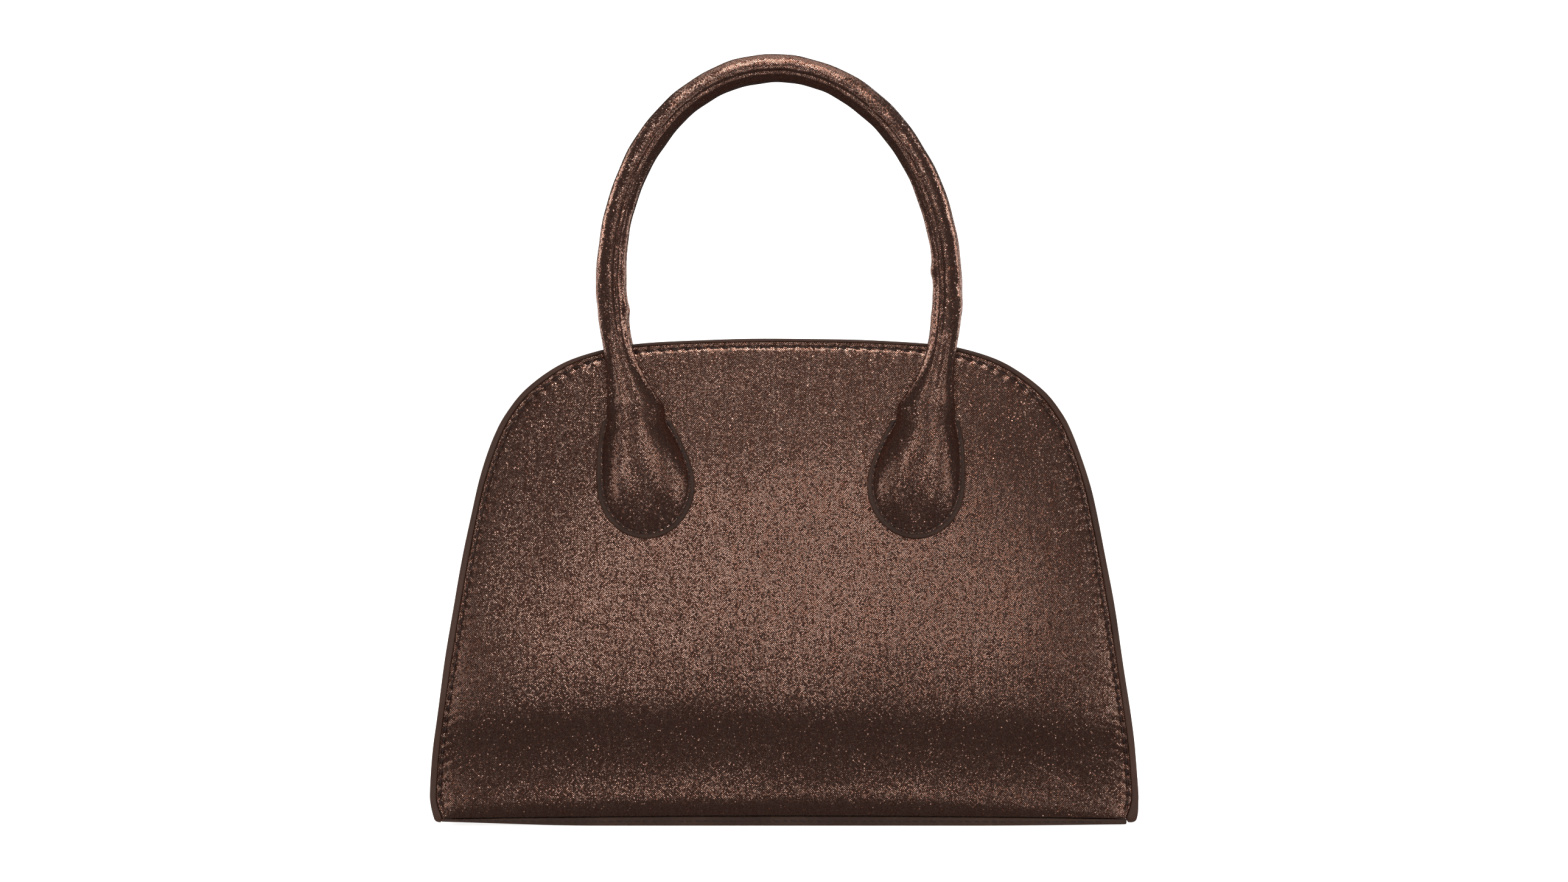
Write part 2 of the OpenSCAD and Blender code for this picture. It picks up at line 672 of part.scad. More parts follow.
// Lining and pocket
lining_out = foam_out - foam_t - sewn_gap;
lining_face = lining_out - lining_t;
lining_depth = trim_t + 2 * sewn_gap;
module lining() {
  color(lining_brown) sheet(inner_outline(), inner_ring_shares, lining_out, lining_face);
}

// Lining of a gusset, from just above the base to the zip
function lining_row(i, depth) = web_row(i, lining_depth + depth, room_at(i, -fabric_t) + lining_face);
module lining_gusset() {
  color(lining_brown) slab(
    [for (i = [outline_steps:gusset_last]) lining_row(i, lining_t)],
    [for (i = [outline_steps:gusset_last]) lining_row(i, 0)]
  );
}

module lining_base() {
  half_l = web_arch[0][0] - lining_depth - lining_t - gusset_sag * 0.6 - sewn_gap;
  color(lining_brown) translate([0, 0, foot_z + board_t + 2 * sewn_gap])
    rounded_plate(half_l, board_half_w - foam_t, base_corner / 2, lining_t);
}

pocket_cols = 6;
pocket_rows = 4;
module slip_pocket() {
  function grid(out) = [for (r = [0:pocket_rows]) [for (k = [0:pocket_cols])
    on_skin([pocket_w * (0.5 - k / pocket_cols), pocket_z + pocket_h * r / pocket_rows], out)]];
  face = lining_face - 2 * sewn_gap;
  color(lining_brown) slab(grid(face), grid(face - lining_t));
}

panel();  // front_panel
at_back() panel();  // back_panel
foam();  // front_foam
at_back() foam();  // back_foam
painted_edge();  // front_painted_edge
at_back() painted_edge();  // back_painted_edge
at_left() gusset();  // left_gusset
gusset();  // right_gusset
base_panel();
base_board();
top_facing();  // front_top_facing
at_back() top_facing();  // back_top_facing
zip_band();  // front_zip_band
at_back() zip_band();  // back_zip_band
tape(band_left, band_right);  // front_zip_tape
at_back() tape(band_left, band_right);  // back_zip_tape
teeth(band_left, band_right, 0);  // front_zip_teeth
at_back() teeth(band_left, band_right, tooth_pitch / 2);  // back_zip_teeth
zip_end_panels();
zip_end_tapes();
zip_end_teeth();
zip_stops();
zip_slider();
zip_pull_ring();
zip_pull_tab();
handle_cover();  // front_handle_cover
handle_cord();  // front_handle_cord
neck_padding();  // front_neck_padding
at_back() handle_cover();  // back_handle_cover
at_back() handle_cord();  // back_handle_cord
at_back() neck_padding();  // back_neck_padding
tab(-1);  // front_left_tab
tab(1);  // front_right_tab
at_back() tab(-1);  // back_left_tab
at_back() tab(1);  // back_right_tab
tab_backing(-1);  // front_left_tab_backing
tab_backing(1);  // front_right_tab_backing
at_back() tab_backing(-1);  // back_left_tab_backing
at_back() tab_backing(1);  // back_right_tab_backing
lining();  // front_lining
at_back() lining();  // back_lining
at_left() lining_gusset();  // left_lining_gusset
lining_gusset();  // right_lining_gusset
lining_base();
at_back() slip_pocket();
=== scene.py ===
import math
import bmesh
import bpy
import numpy as np
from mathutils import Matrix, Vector


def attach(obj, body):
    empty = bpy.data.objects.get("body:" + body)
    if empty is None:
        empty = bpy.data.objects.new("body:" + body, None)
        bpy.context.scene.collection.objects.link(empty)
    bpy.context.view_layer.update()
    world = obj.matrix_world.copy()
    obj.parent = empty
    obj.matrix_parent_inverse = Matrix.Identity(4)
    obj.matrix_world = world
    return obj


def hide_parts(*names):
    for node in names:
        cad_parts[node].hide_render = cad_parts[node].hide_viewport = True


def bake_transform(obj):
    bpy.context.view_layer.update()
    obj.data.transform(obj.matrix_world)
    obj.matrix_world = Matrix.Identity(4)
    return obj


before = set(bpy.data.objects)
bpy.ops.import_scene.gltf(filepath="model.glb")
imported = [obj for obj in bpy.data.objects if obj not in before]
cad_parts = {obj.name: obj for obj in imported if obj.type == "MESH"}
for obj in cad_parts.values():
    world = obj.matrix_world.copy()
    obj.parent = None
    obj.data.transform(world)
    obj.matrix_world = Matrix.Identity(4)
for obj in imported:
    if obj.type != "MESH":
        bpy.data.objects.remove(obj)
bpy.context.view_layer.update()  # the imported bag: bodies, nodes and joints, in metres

print("frame loaded:", len(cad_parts), "nodes")
mm = 0.001
faceSign = {"front": -1, "back": 1}  # the front faces -Y
sideSign = {"left": -1, "right": 1}

# Camera, where the photograph was taken from

view = {"distance": 5.0, "frameWidth": 0.5767, "sensor": 36.0, "height": 0.1414, "facePlane": -0.04}

camera = bpy.data.objects.new("camera", bpy.data.cameras.new("camera"))
bpy.context.scene.collection.objects.link(camera)
camera.location = (0, view["facePlane"] - view["distance"], view["height"])
camera.rotation_euler = (math.radians(90), 0, 0)  # level, looking along +Y
camera.data.sensor_width = view["sensor"]
camera.data.lens = view["distance"] * view["sensor"] / view["frameWidth"]
camera.data.clip_start, camera.data.clip_end = 0.05, 60
bpy.context.scene.camera = camera
print("camera placed")


# Coordinates side by side as points, each spread to the same shape
def together(*parts):
    return np.stack(np.broadcast_arrays(*parts), axis=-1)


def fullTurn(count):
    return 2 * math.pi * np.arange(count) / count


# Length run along a line of points, from 0 at its first
def runLength(points):
    return np.concatenate([[0], np.cumsum(np.linalg.norm(np.diff(points, axis=0), axis=1))])


# Length run round each loop of a tube, from 0 at its first point
def aroundLength(loops):
    steps = np.linalg.norm(np.diff(loops, axis=1, append=loops[:, :1]), axis=2)
    return np.concatenate([np.zeros((len(loops), 1)), np.cumsum(steps, axis=1)], axis=1)


def mix(a, b, t):
    return a + (b - a) * t


def ease(v, low, high):
    t = np.clip((v - low) / (high - low), 0, 1)
    return t * t * (3 - 2 * t)


def bump(v, middle, reach):
    return np.exp(-((v - middle) / reach) ** 2)


def unit(v):
    return v / np.maximum(np.linalg.norm(v, axis=-1, keepdims=True), 1e-9)


def squarish(v, power):
    return np.sign(v) * np.abs(v) ** power


# Meshes from arrays. Points are in millimetres; faces are a list of arrays, one for each corner count.
def makePiece(name, points, faces, uv=None, smooth=True, outward=True, merge=False):
    mesh = bpy.data.meshes.new(name)
    mesh.from_pydata((points * mm).tolist(), [], [f for block in faces for f in block.tolist()])
    if uv is not None:
        layer = mesh.uv_layers.new(name="clothMap")
        layer.data.foreach_set("uv", np.concatenate([u.reshape(-1) for u in uv]).astype(np.float32))
    mesh.polygons.foreach_set("use_smooth", np.full(len(mesh.polygons), smooth))
    if outward:
        shell = bmesh.new()
        shell.from_mesh(mesh)
        if merge:
            bmesh.ops.remove_doubles(shell, verts=shell.verts, dist=1e-6)
        bmesh.ops.recalc_face_normals(shell, faces=shell.faces)
        shell.to_mesh(mesh)
        shell.free()
    mesh.validate()
    piece = bpy.data.objects.new(name, mesh)
    bpy.context.scene.collection.objects.link(piece)
    return piece


# Dresses a piece: its material, the body it rides on and the CAD nodes it stands for. Its slot argument is not used.
def dress(piece, material, body, slot, *nodes):
    piece.data.materials.clear()
    piece.data.materials.append(material)
    if isinstance(body, str):
        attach(piece, body)
    else:
        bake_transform(piece)
    if nodes:
        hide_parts(*nodes)
    return piece


# Quads of a grid of rows and columns, as rows * cols points; ring joins the last column to the first
def gridQuads(rows, cols, ring=False, start=0):
    i, j = np.meshgrid(np.arange(rows - 1), np.arange(cols if ring else cols - 1), indexing="ij")
    k = (j + 1) % cols
    return together(i * cols + j, i * cols + k, (i + 1) * cols + k, (i + 1) * cols + j).reshape(-1, 4) + start


# Closed slab between two grids of points of the same shape (rows, cols, 3), with its four rims
def slabPiece(name, top, bottom):
    rows, cols = top.shape[:2]
    base = rows * cols
    k = np.arange(base).reshape(rows, cols)
    upper = gridQuads(rows, cols)
    rims = [k[0], k[:, -1], k[-1][::-1], k[:, 0][::-1]]
    walls = np.concatenate([together(r[:-1], r[:-1] + base, r[1:] + base, r[1:]) for r in rims])
    points = np.concatenate([top.reshape(-1, 3), bottom.reshape(-1, 3)])
    faces = np.concatenate([upper, upper[:, ::-1] + base, walls])
    flat = np.tile(top[..., [0, 2]].reshape(-1, 2), (2, 1))
    return makePiece(name, points, [faces], [flat[faces]])


# Closed tube through loops of points (rows, cols, 3), with a fan over each end. Its cloth map, with one
# column more than a loop has points, runs round the loops and along their middles unless one is given.
def tubePiece(name, loops, clothMap=None):
    rows, cols = loops.shape[:2]
    points = np.concatenate([loops.reshape(-1, 3), np.stack([loops[0].mean(axis=0), loops[-1].mean(axis=0)])])
    j = np.arange(cols)
    k = (j + 1) % cols
    last = (rows - 1) * cols
    fans = np.concatenate([together(k, j, rows * cols), together(last + j, last + k, rows * cols + 1)])
    m = together(aroundLength(loops), runLength(loops.mean(axis=1))[:, None]) if clothMap is None else clothMap
    corners = np.stack([m[:-1, :-1], m[:-1, 1:], m[1:, 1:], m[1:, :-1]], axis=2).reshape(-1, 4, 2)
    ends = np.concatenate([np.stack([m[0, 1:], m[0, :-1], m[0, :-1]], axis=1),
                           np.stack([m[-1, :-1], m[-1, 1:], m[-1, :-1]], axis=1)])
    return makePiece(name, points, [gridQuads(rows, cols, True), fans], [corners, ends])


# Smooth curve through points at places t, as the CAD source draws it
def curveThrough(points, t):
    p = np.asarray(points, float)
    t = np.clip(np.asarray(t, float), 0, len(p) - 1)
    i = np.minimum(t.astype(int), len(p) - 2)
    f = (t - i)[..., None]
    a, b, c, d = p[np.maximum(i - 1, 0)], p[i], p[i + 1], p[np.minimum(i + 2, len(p) - 1)]
    return (2 * b + (c - a) * f + (2 * a - 5 * b + 4 * c - d) * f ** 2 + (3 * b - a - 3 * c + d) * f ** 3) / 2


# Places from 0 to end at even distances along the line that lineAt draws
def evenPlaces(lineAt, end, count, fine=1600):
    places = np.linspace(0, end, fine)
    length = runLength(lineAt(places))
    return np.interp(np.linspace(0, length[-1], count), length, places)


# Body: the skin of the panels and their outline

body = {
    "halfWidth": 130.5, "height": 179.2, "baseDepth": 98.0, "crownDepth": 55.0, "taperPower": 1.4,
    "sideTurn": 5.0, "turnPower": 4, "belly": 2.5, "bellyHeight": 75.0, "bellyReach": 45.0,
    "step": 2.0, "stepHeight": 37.0, "stepReach": 3.2, "slack": 1.2, "slackHeight": 26.5, "slackReach": 3.8,
    "swell": 0.28, "swellHeight": 7.0, "swellReach": 7.0, "lip": 11.0, "rollUnder": 3.4, "foot": 2.7,
    "footRise": 1.1, "riseReach": 123.0, "crownBulge": 2.3, "bulgeHeight": 131.0, "bulgeReach": 28.0,
    "bulgeFull": 60, "bulgeEnd": 115, "dropLeft": 3.4, "dropRight": 7.0, "dropFrom": 125.0, "dropPower": 2.5,
    "ripple": 1.1, "rippleLength": 33, "wave": 0.2,
}
layers = {
    "fabric": 1.2, "foam": 2.2, "lining": 0.5, "trim": 1.2, "edgeSide": 2.8, "edgeCrown": 1.3, "flange": 3.0,
    "edgeProud": 0.25, "seamDrop": 0.6, "sag": 6.0,
}
outlineShares = np.array([
    [0.983, 0], [0.998, 0.031], [1, 0.056], [0.994, 0.125], [0.985, 0.184], [0.955, 0.337], [0.9215, 0.49],
    [0.882, 0.643], [0.857, 0.719], [0.8207, 0.795], [0.7845, 0.846], [0.7267, 0.897], [0.6276, 0.948],
    [0.517, 0.977], [0.41, 0.99], [0.21, 0.998], [0, 1]])  # of the half width and the height
archShares = np.concatenate([outlineShares, outlineShares[-2::-1] * [-1, 1]])
archEnd = len(archShares) - 1


# Bulge under the crown: a bell curve over the height, which fades towards the sides
def crownBulge(x, z):
    fade = 1 - ease(np.abs(x), body["bulgeFull"], body["bulgeEnd"])
    return body["crownBulge"] * bump(z, body["bulgeHeight"], body["bulgeReach"]) * fade


# Half depth of the body at (x, z): taper towards the crown + belly + a bulge under the crown - the step
# of a crease and the slack below it + a swell near the foot - rolled lip - turn at the sides. Step, slack
# and swell lie lower towards the corners and wander a little along the width.
def skin(x, z, face="front"):
    b = body
    share = np.clip(z / b["height"], 0, 1)
    side = -faceSign[face] * x
    drop = np.where(side < 0, b["dropLeft"], b["dropRight"]) * (np.abs(x) / b["dropFrom"]) ** b["dropPower"]
    drop = drop * (1 - ease(z, 30, 90))
    ripple = b["ripple"] * np.sin(side / b["rippleLength"] + 0.6) * ease(z, 8, 24) * (1 - ease(z, 50, 90))
    low = z + drop + ripple
    taper = mix(b["baseDepth"] / 2, b["crownDepth"] / 2, share ** b["taperPower"])
    belly = b["belly"] * bump(z, b["bellyHeight"], b["bellyReach"])
    step = b["step"] / (1 + np.exp((low - b["stepHeight"]) / b["stepReach"]))
    slack = b["slack"] / (1 + np.exp((low - b["slackHeight"]) / b["slackReach"]))
    swell = b["swell"] * bump(low, b["swellHeight"], b["swellReach"])
    under = b["rollUnder"] * (np.maximum(b["lip"] - low, 0) / b["lip"]) ** 2
    turn = b["sideTurn"] * (np.abs(x) / b["halfWidth"]) ** b["turnPower"]
    return taper + belly + crownBulge(x, z) - step - slack + swell - under - turn


# Points on one face of the bag, moved out by an offset
def onSkin(x, z, out, face="front"):
    return together(x, faceSign[face] * (skin(x, z, face) + out), z)


# Outward direction of the skin at (x, z), by differences of its depth
def skinNormal(x, z, face):
    step = 0.5
    dx = (skin(x + step, z, face) - skin(x - step, z, face)) / (2 * step)
    dz = (skin(x, z + step, face) - skin(x, z - step, face)) / (2 * step)
    return unit(together(-dx, faceSign[face], -dz))


# Arch of the outline at places t, from the right foot over the crown to the left foot
def archPoints(t, sideInset=0.0, crownInset=0.0, foot=body["foot"]):
    s = curveThrough(archShares, t)
    x = s[..., 0] * (body["halfWidth"] - sideInset)
    return together(x, mix(foot, body["height"] - crownInset, s[..., 1]))


# Closed outline with its outward normals, averaged over 5 mm so that they turn evenly round the corners:
# an even walk along the arch, then along the foot
def closedOutline(sideInset, crownInset, foot, spacing):
    archAt = lambda t: archPoints(t, sideInset, crownInset, foot)
    count = int(runLength(archAt(np.linspace(0, archEnd, 1600)))[-1] / spacing)
    arch = archAt(evenPlaces(archAt, archEnd, count))
    reach = arch[0, 0]
    steps = int(2 * reach / spacing)
    loop = np.concatenate([arch, together(np.linspace(-reach, reach, steps + 1)[1:-1], foot)])
    along = np.roll(loop, -1, axis=0) - np.roll(loop, 1, axis=0)
    normal = unit(together(along[:, 1], -along[:, 0]))
    width = max(3, int(5 / spacing)) | 1
    padded = np.concatenate([normal[-width:], normal, normal[:width]])
    soft = together(*[np.convolve(padded[:, k], np.ones(width) / width, "same") for k in (0, 1)])
    return loop, unit(soft[width:-width]), np.concatenate([np.ones(count), np.zeros(steps - 1)])


# Sheet over the closed outline, on rings at set distances from the edge and then at even shares of the
# way in. front(x, z, distance, column) and back(...) give how far out each face lies.
def ringSheet(name, outline, distances, ringCount, face, front, back):
    loop, normal = outline[:2]
    n = len(loop)
    centre = np.array([0.0, mix(loop[:, 1].min(), loop[:, 1].max(), 0.45)])
    arm = loop - centre
    depth = np.sum(arm * normal, axis=1)
    farIn = np.array([50.0])  # distance that the middle point counts as

    def rings(gaps, inner):
        s = [1 - g / depth for g in gaps]
        return np.stack(s + [s[-1] * m for m in inner])

    def surface(s, out):
        p = centre + s[..., None] * arm
        o = out(p[..., 0], p[..., 1], (1 - s) * depth, np.broadcast_to(np.arange(n), s.shape))
        middle = onSkin(centre[:1], centre[1:], out(centre[:1], centre[1:], farIn, np.array([0])), face)
        return np.concatenate([onSkin(p[..., 0], p[..., 1], o, face).reshape(-1, 3), middle])

    def web(rows, start):
        j = np.arange(n)
        last = start + (rows - 1) * n
        return gridQuads(rows, n, True, start), together(last + j, last + (j + 1) % n, start + rows * n)

    frontShares = rings(distances, np.linspace(1, 0, ringCount)[1:-1])
    backShares = rings((0.0, 3.0, 12.0), (0.66, 0.33))
    upper, lower = surface(frontShares, front), surface(backShares, back)
    base = len(upper)
    (quads, fan), (quads2, fan2) = web(len(frontShares), 0), web(len(backShares), base)
    j = np.arange(n)
    k = (j + 1) % n
    points = np.concatenate([upper, lower])
    faces = [np.concatenate([quads, quads2[:, ::-1], together(j, base + j, base + k, k)]),
             np.concatenate([fan, fan2[:, ::-1]])]
    flat = points[:, [0, 2]]
    return makePiece(name, points, faces, [flat[f] for f in faces])


# Seam: where the stitches lie along the edge of a panel

seam = {
    "insetSide": 1.15, "insetCrown": 1.9, "pitchSide": 3.9, "pitchCrown": 4.7, "groove": 0.5, "grooveReach": 0.55,
    "pillowReach": 3.4, "pucker": 0.13, "puckerReach": 2.4, "thread": 0.3, "threadShare": 0.8, "cornerFade": 5,
}


# Rise of the foot at x: a low parabola over its middle
def footRise(x):
    return body["footRise"] * np.maximum(1 - (x / body["riseReach"]) ** 2, 0)


panelOutline = closedOutline(layers["edgeSide"], layers["edgeCrown"], body["foot"], 0.75)
panelLoop, panelNormal, panelOnArch = panelOutline
panelLoop[:, 1] += footRise(panelLoop[:, 0]) * (1 - panelOnArch)
crownShare = np.abs(panelNormal[:, 1]) * (panelNormal[:, 1] > 0)
seamWeight = (np.minimum(np.abs(panelLoop[:, 1] - body["foot"]) / seam["cornerFade"], 1) * panelOnArch) ** 0.5
seamPitch = mix(seam["pitchSide"], seam["pitchCrown"], crownShare)
seamInset = mix(seam["insetSide"], seam["insetCrown"], crownShare)
stepLength = np.linalg.norm(np.diff(panelLoop, axis=0, append=panelLoop[:1]), axis=1)
stitchCount = np.concatenate([[0], np.cumsum(stepLength / seamPitch)[:-1]])


# Outer face of a panel: sunk at its seam, with a groove under the stitches that is deepest at their
# holes, puckers that fade away from it, and slow waves of the cloth
def panelFront(face):
    phase = 0.0 if face == "front" else 2.1

    def out(x, z, gap, column):
        inset, weight = seamInset[column], seamWeight[column]
        beat = np.cos(2 * math.pi * stitchCount[column])
        past = np.maximum(gap - inset, 0)
        sunk = -layers["seamDrop"] * np.exp(-past / seam["pillowReach"]) * weight
        groove = -seam["groove"] * bump(gap, inset, seam["grooveReach"]) * (0.7 + 0.3 * beat) * weight
        pucker = -seam["pucker"] * beat * np.exp(-past / seam["puckerReach"]) * np.minimum(gap / 0.6, 1) * weight
        wave = body["wave"] * (np.sin(x / 19 + z / 33 + phase) + 0.7 * np.sin(x / 9.7 - z / 21 + 1.7 + phase)
                               + 0.5 * np.sin(x / 31 + z / 12 + 0.4)) * ease(gap, 2, 25)
        return sunk + groove + pucker + wave

    return out


def layerAt(out):
    return lambda x, z, gap, column: out


edgeGaps = (*np.arange(0, 2, 0.25), 2.05, 2.4, 2.8, 3.3, 3.9, 4.7, 5.7, 7.0, 8.6, 10.6, 13.0, 16.0)
print("shapes set up")


# Materials

def nodeTree(name):
    material = bpy.data.materials.new(name)
    material.use_nodes = True
    tree = material.node_tree
    return material, tree, next(n for n in tree.nodes if n.type == "BSDF_PRINCIPLED")


# Feeds inputs of a node, by name or by number as i0 and so on: a socket is linked, a value is set
def feed(tree, node, inputs):
    for key, value in inputs.items():
        socket = node.inputs[int(key[1:]) if key[1:].isdigit() else key]
        if isinstance(value, bpy.types.NodeSocket):
            tree.links.new(value, socket)
        else:
            socket.default_value = value


def add(tree, kind, settings=None, **inputs):
    node = tree.nodes.new("ShaderNode" + kind)
    for key, value in (settings or {}).items():
        setattr(node, key, value)
    feed(tree, node, inputs)
    return node


def calc(tree, operation, a, b=0.0, c=0.0):
    return add(tree, "Math", {"operation": operation}, i0=a, i1=b, i2=c).outputs[0]


def times(tree, a, b):
    return calc(tree, "MULTIPLY", a, b)


def vectorCalc(tree, operation, a, **inputs):
    return add(tree, "VectorMath", {"operation": operation}, i0=a, **inputs).outputs[0]


def centred(tree, color):
    return vectorCalc(tree, "SUBTRACT", color, i1=(0.5, 0.5, 0.5))


def blendColor(tree, share, a, b):
    return add(tree, "Mix", {"data_type": "RGBA"}, i0=share, i6=a, i7=b).outputs[2]


def between(tree, value, low, high, outLow=0.0, outHigh=1.0):
    return add(tree, "MapRange", i0=value, i1=low, i2=high, i3=outLow, i4=outHigh).outputs[0]


def noise(tree, place, scale, detail, **settings):
    return add(tree, "TexNoise", settings, Vector=place, Scale=scale, Detail=detail)


def whiteNoise(tree, dimensions, **inputs):
    return add(tree, "TexWhiteNoise", {"noise_dimensions": dimensions}, **inputs)


def bands(tree, place, direction, scale, distortion):
    return add(tree, "TexWave", {"bands_direction": direction}, Vector=place, Scale=scale,
               Distortion=distortion).outputs[1]


def bumpFrom(tree, height, strength, distance):
    return add(tree, "Bump", Strength=strength, Distance=distance, Height=height).outputs[0]


def objectPlace(tree):
    return add(tree, "TexCoord").outputs["Object"]


def srgb(r, g, b):
    linear = [(c / 255 / 12.92) if c <= 10 else ((c / 255 + 0.055) / 1.055) ** 2.4 for c in (r, g, b)]
    return (*linear, 1.0)


foilYarn = {
    "cell": 0.4, "tilt": 0.14, "wildTilt": 0.5, "foilRoughness": 0.24, "yarnRoughness": 0.75,
    "foilLight": srgb(252, 210, 190), "foilDeep": srgb(176, 108, 78), "yarn": srgb(43, 20, 13), "slub": 0.48,
    "slubScale": 1.3, "streak": 0.36, "streakScale": 0.9, "streakStretch": 0.06, "rowShade": 0.3,
    "wander": 1.2, "wanderScale": 0.16, "weaveBump": 0.09, "gloss": 0.2,
}


# Metallic cloth: a checkerboard of foil floats over dark yarn, each float tilted its own way, a few of
# them far; with darker slubs, streaks along the warp and uneven yarns. It reads the cloth map, in millimetres.
def lurexMaterial():
    material, tree, shader = nodeTree("foilCloth")
    cloth = add(tree, "UVMap", {"uv_map": "clothMap"}).outputs[0]
    wander = noise(tree, cloth, foilYarn["wanderScale"], 2.0, noise_dimensions="2D").outputs["Color"]
    offset = vectorCalc(tree, "SCALE", centred(tree, wander), Scale=foilYarn["wander"])
    place = vectorCalc(tree, "ADD", cloth, i1=offset)
    grid = vectorCalc(tree, "SCALE", place, Scale=1 / foilYarn["cell"])
    cell = vectorCalc(tree, "FLOOR", grid)
    parts = add(tree, "SeparateXYZ", i0=cell).outputs
    halves = add(tree, "SeparateXYZ", i0=vectorCalc(tree, "FRACTION", grid)).outputs
    even = calc(tree, "PINGPONG", calc(tree, "ADD", parts[0], parts[1]), 1.0)
    chance = whiteNoise(tree, "2D", Vector=cell)
    warp = whiteNoise(tree, "1D", W=parts[0]).outputs["Value"]
    weft = whiteNoise(tree, "1D", W=calc(tree, "ADD", parts[1], 0.5)).outputs["Value"]
    yarns = calc(tree, "SUBTRACT", 1.0, times(tree, times(tree, warp, weft), foilYarn["rowShade"]))
    slubs = noise(tree, place, foilYarn["slubScale"], 3.0, noise_dimensions="2D").outputs[0]
    long = add(tree, "Mapping", i0=place, Scale=(1.0, foilYarn["streakStretch"], 1.0)).outputs[0]
    streaks = noise(tree, long, foilYarn["streakScale"], 3.0, noise_dimensions="2D").outputs[0]
    thick = calc(tree, "SUBTRACT", 1.0, times(tree, between(tree, slubs, 0.5, 0.75), foilYarn["slub"]))
    streaked = calc(tree, "SUBTRACT", yarns, times(tree, between(tree, streaks, 0.42, 0.7), foilYarn["streak"]))
    lit = times(tree, calc(tree, "POWER", chance.outputs["Value"], 0.5), times(tree, thick, streaked))
    foil = blendColor(tree, lit, foilYarn["foilDeep"], foilYarn["foilLight"])
    cover = times(tree, even, between(tree, lit, 0.06, 0.14, 0.2, 1.0))
    rise = times(tree, *[calc(tree, "SINE", times(tree, halves[k], math.pi)) for k in (0, 1)])
    rounded = bumpFrom(tree, times(tree, rise, calc(tree, "ADD", even, 0.4)), foilYarn["weaveBump"], 0.0001)
    wild = calc(tree, "POWER", whiteNoise(tree, "3D", Vector=cell).outputs["Value"], 5.0)
    reach = calc(tree, "ADD", foilYarn["tilt"], times(tree, wild, foilYarn["wildTilt"]))
    lean = vectorCalc(tree, "SCALE", centred(tree, chance.outputs["Color"]), Scale=times(tree, cover, reach))
    feed(tree, shader, {
        "Base Color": blendColor(tree, cover, foilYarn["yarn"], foil), "Metallic": between(tree, cover, 0.1, 0.3),
        "Roughness": between(tree, cover, 0.0, 1.0, foilYarn["yarnRoughness"], foilYarn["foilRoughness"]),
        "Specular IOR Level": foilYarn["gloss"],
        "Normal": vectorCalc(tree, "NORMALIZE", vectorCalc(tree, "ADD", rounded, i1=lean))})
    return material


# Smooth coated trim: fine grain as bump, slow colour changes and a little less gloss in patches
def trimMaterial(name, deep, light, roughness, grain, grainScale=1100.0):
    material, tree, shader = nodeTree(name)
    place = objectPlace(tree)
    slow = noise(tree, place, 38.0, 4.0).outputs[0]
    fine = noise(tree, place, grainScale * 0.35, 3.0).outputs[0]
    pores = add(tree, "TexVoronoi", {"feature": "DISTANCE_TO_EDGE"}, Vector=place, Scale=grainScale).outputs[0]
    height = calc(tree, "ADD", between(tree, pores, 0.0, 0.2), times(tree, fine, 0.8))
    feed(tree, shader, {
        "Base Color": blendColor(tree, between(tree, slow, 0.3, 0.7), deep, light), "Specular IOR Level": 0.35,
        "Roughness": between(tree, fine, 0.3, 0.7, roughness - 0.07, roughness + 0.1),
        "Normal": bumpFrom(tree, height, grain, 0.0002)})
    return material


# Woven lining or tape: two crossed waves of yarn, pitch millimetres apart, with uneven yarns
def wovenMaterial(name, deep, light, pitch, roughness, sheen):
    material, tree, shader = nodeTree(name)
    place = objectPlace(tree)
    cross = times(tree, *[bands(tree, place, way, 1000.0 / pitch * 0.31, 0.4) for way in ("X", "Z")])
    uneven = noise(tree, place, 260.0, 4.0).outputs[0]
    share = times(tree, cross, between(tree, uneven, 0.3, 0.7, 0.7, 1.2))
    feed(tree, shader, {"Base Color": blendColor(tree, share, deep, light), "Roughness": roughness,
                        "Sheen Weight": sheen, "Normal": bumpFrom(tree, cross, 0.35, 0.0001)})
    return material


# Aged metal: brass worn bright in places over a darker patina
def metalMaterial(name, deep, light):
    material, tree, shader = nodeTree(name)
    place = objectPlace(tree)
    patches = noise(tree, place, 420.0, 5.0).outputs[0]
    scratch = noise(tree, place, 2600.0, 2.0).outputs[0]
    feed(tree, shader, {
        "Base Color": blendColor(tree, between(tree, patches, 0.35, 0.65), deep, light), "Metallic": 1.0,
        "Roughness": between(tree, scratch, 0.3, 0.7, 0.28, 0.45), "Normal": bumpFrom(tree, scratch, 0.15, 0.00005)})
    return material


# Open foam and card: small cells as bump
def cellMaterial(name, deep, light, scale, strength):
    material, tree, shader = nodeTree(name)
    place = objectPlace(tree)
    cells = add(tree, "TexVoronoi", Vector=place, Scale=scale).outputs[0]
    slow = noise(tree, place, 60.0, 3.0).outputs[0]
    feed(tree, shader, {"Base Color": blendColor(tree, slow, deep, light), "Roughness": 0.9,
                        "Normal": bumpFrom(tree, cells, strength, 0.0003)})
    return material


# Sewing thread and rope: twisted strands as slanting bands
def threadMaterial(name, deep, light, twist):
    material, tree, shader = nodeTree(name)
    strands = bands(tree, objectPlace(tree), "DIAGONAL", twist, 1.5)
    feed(tree, shader, {"Base Color": blendColor(tree, strands, deep, light), "Roughness": 0.55,
                        "Normal": bumpFrom(tree, strands, 0.4, 0.00008)})
    return material


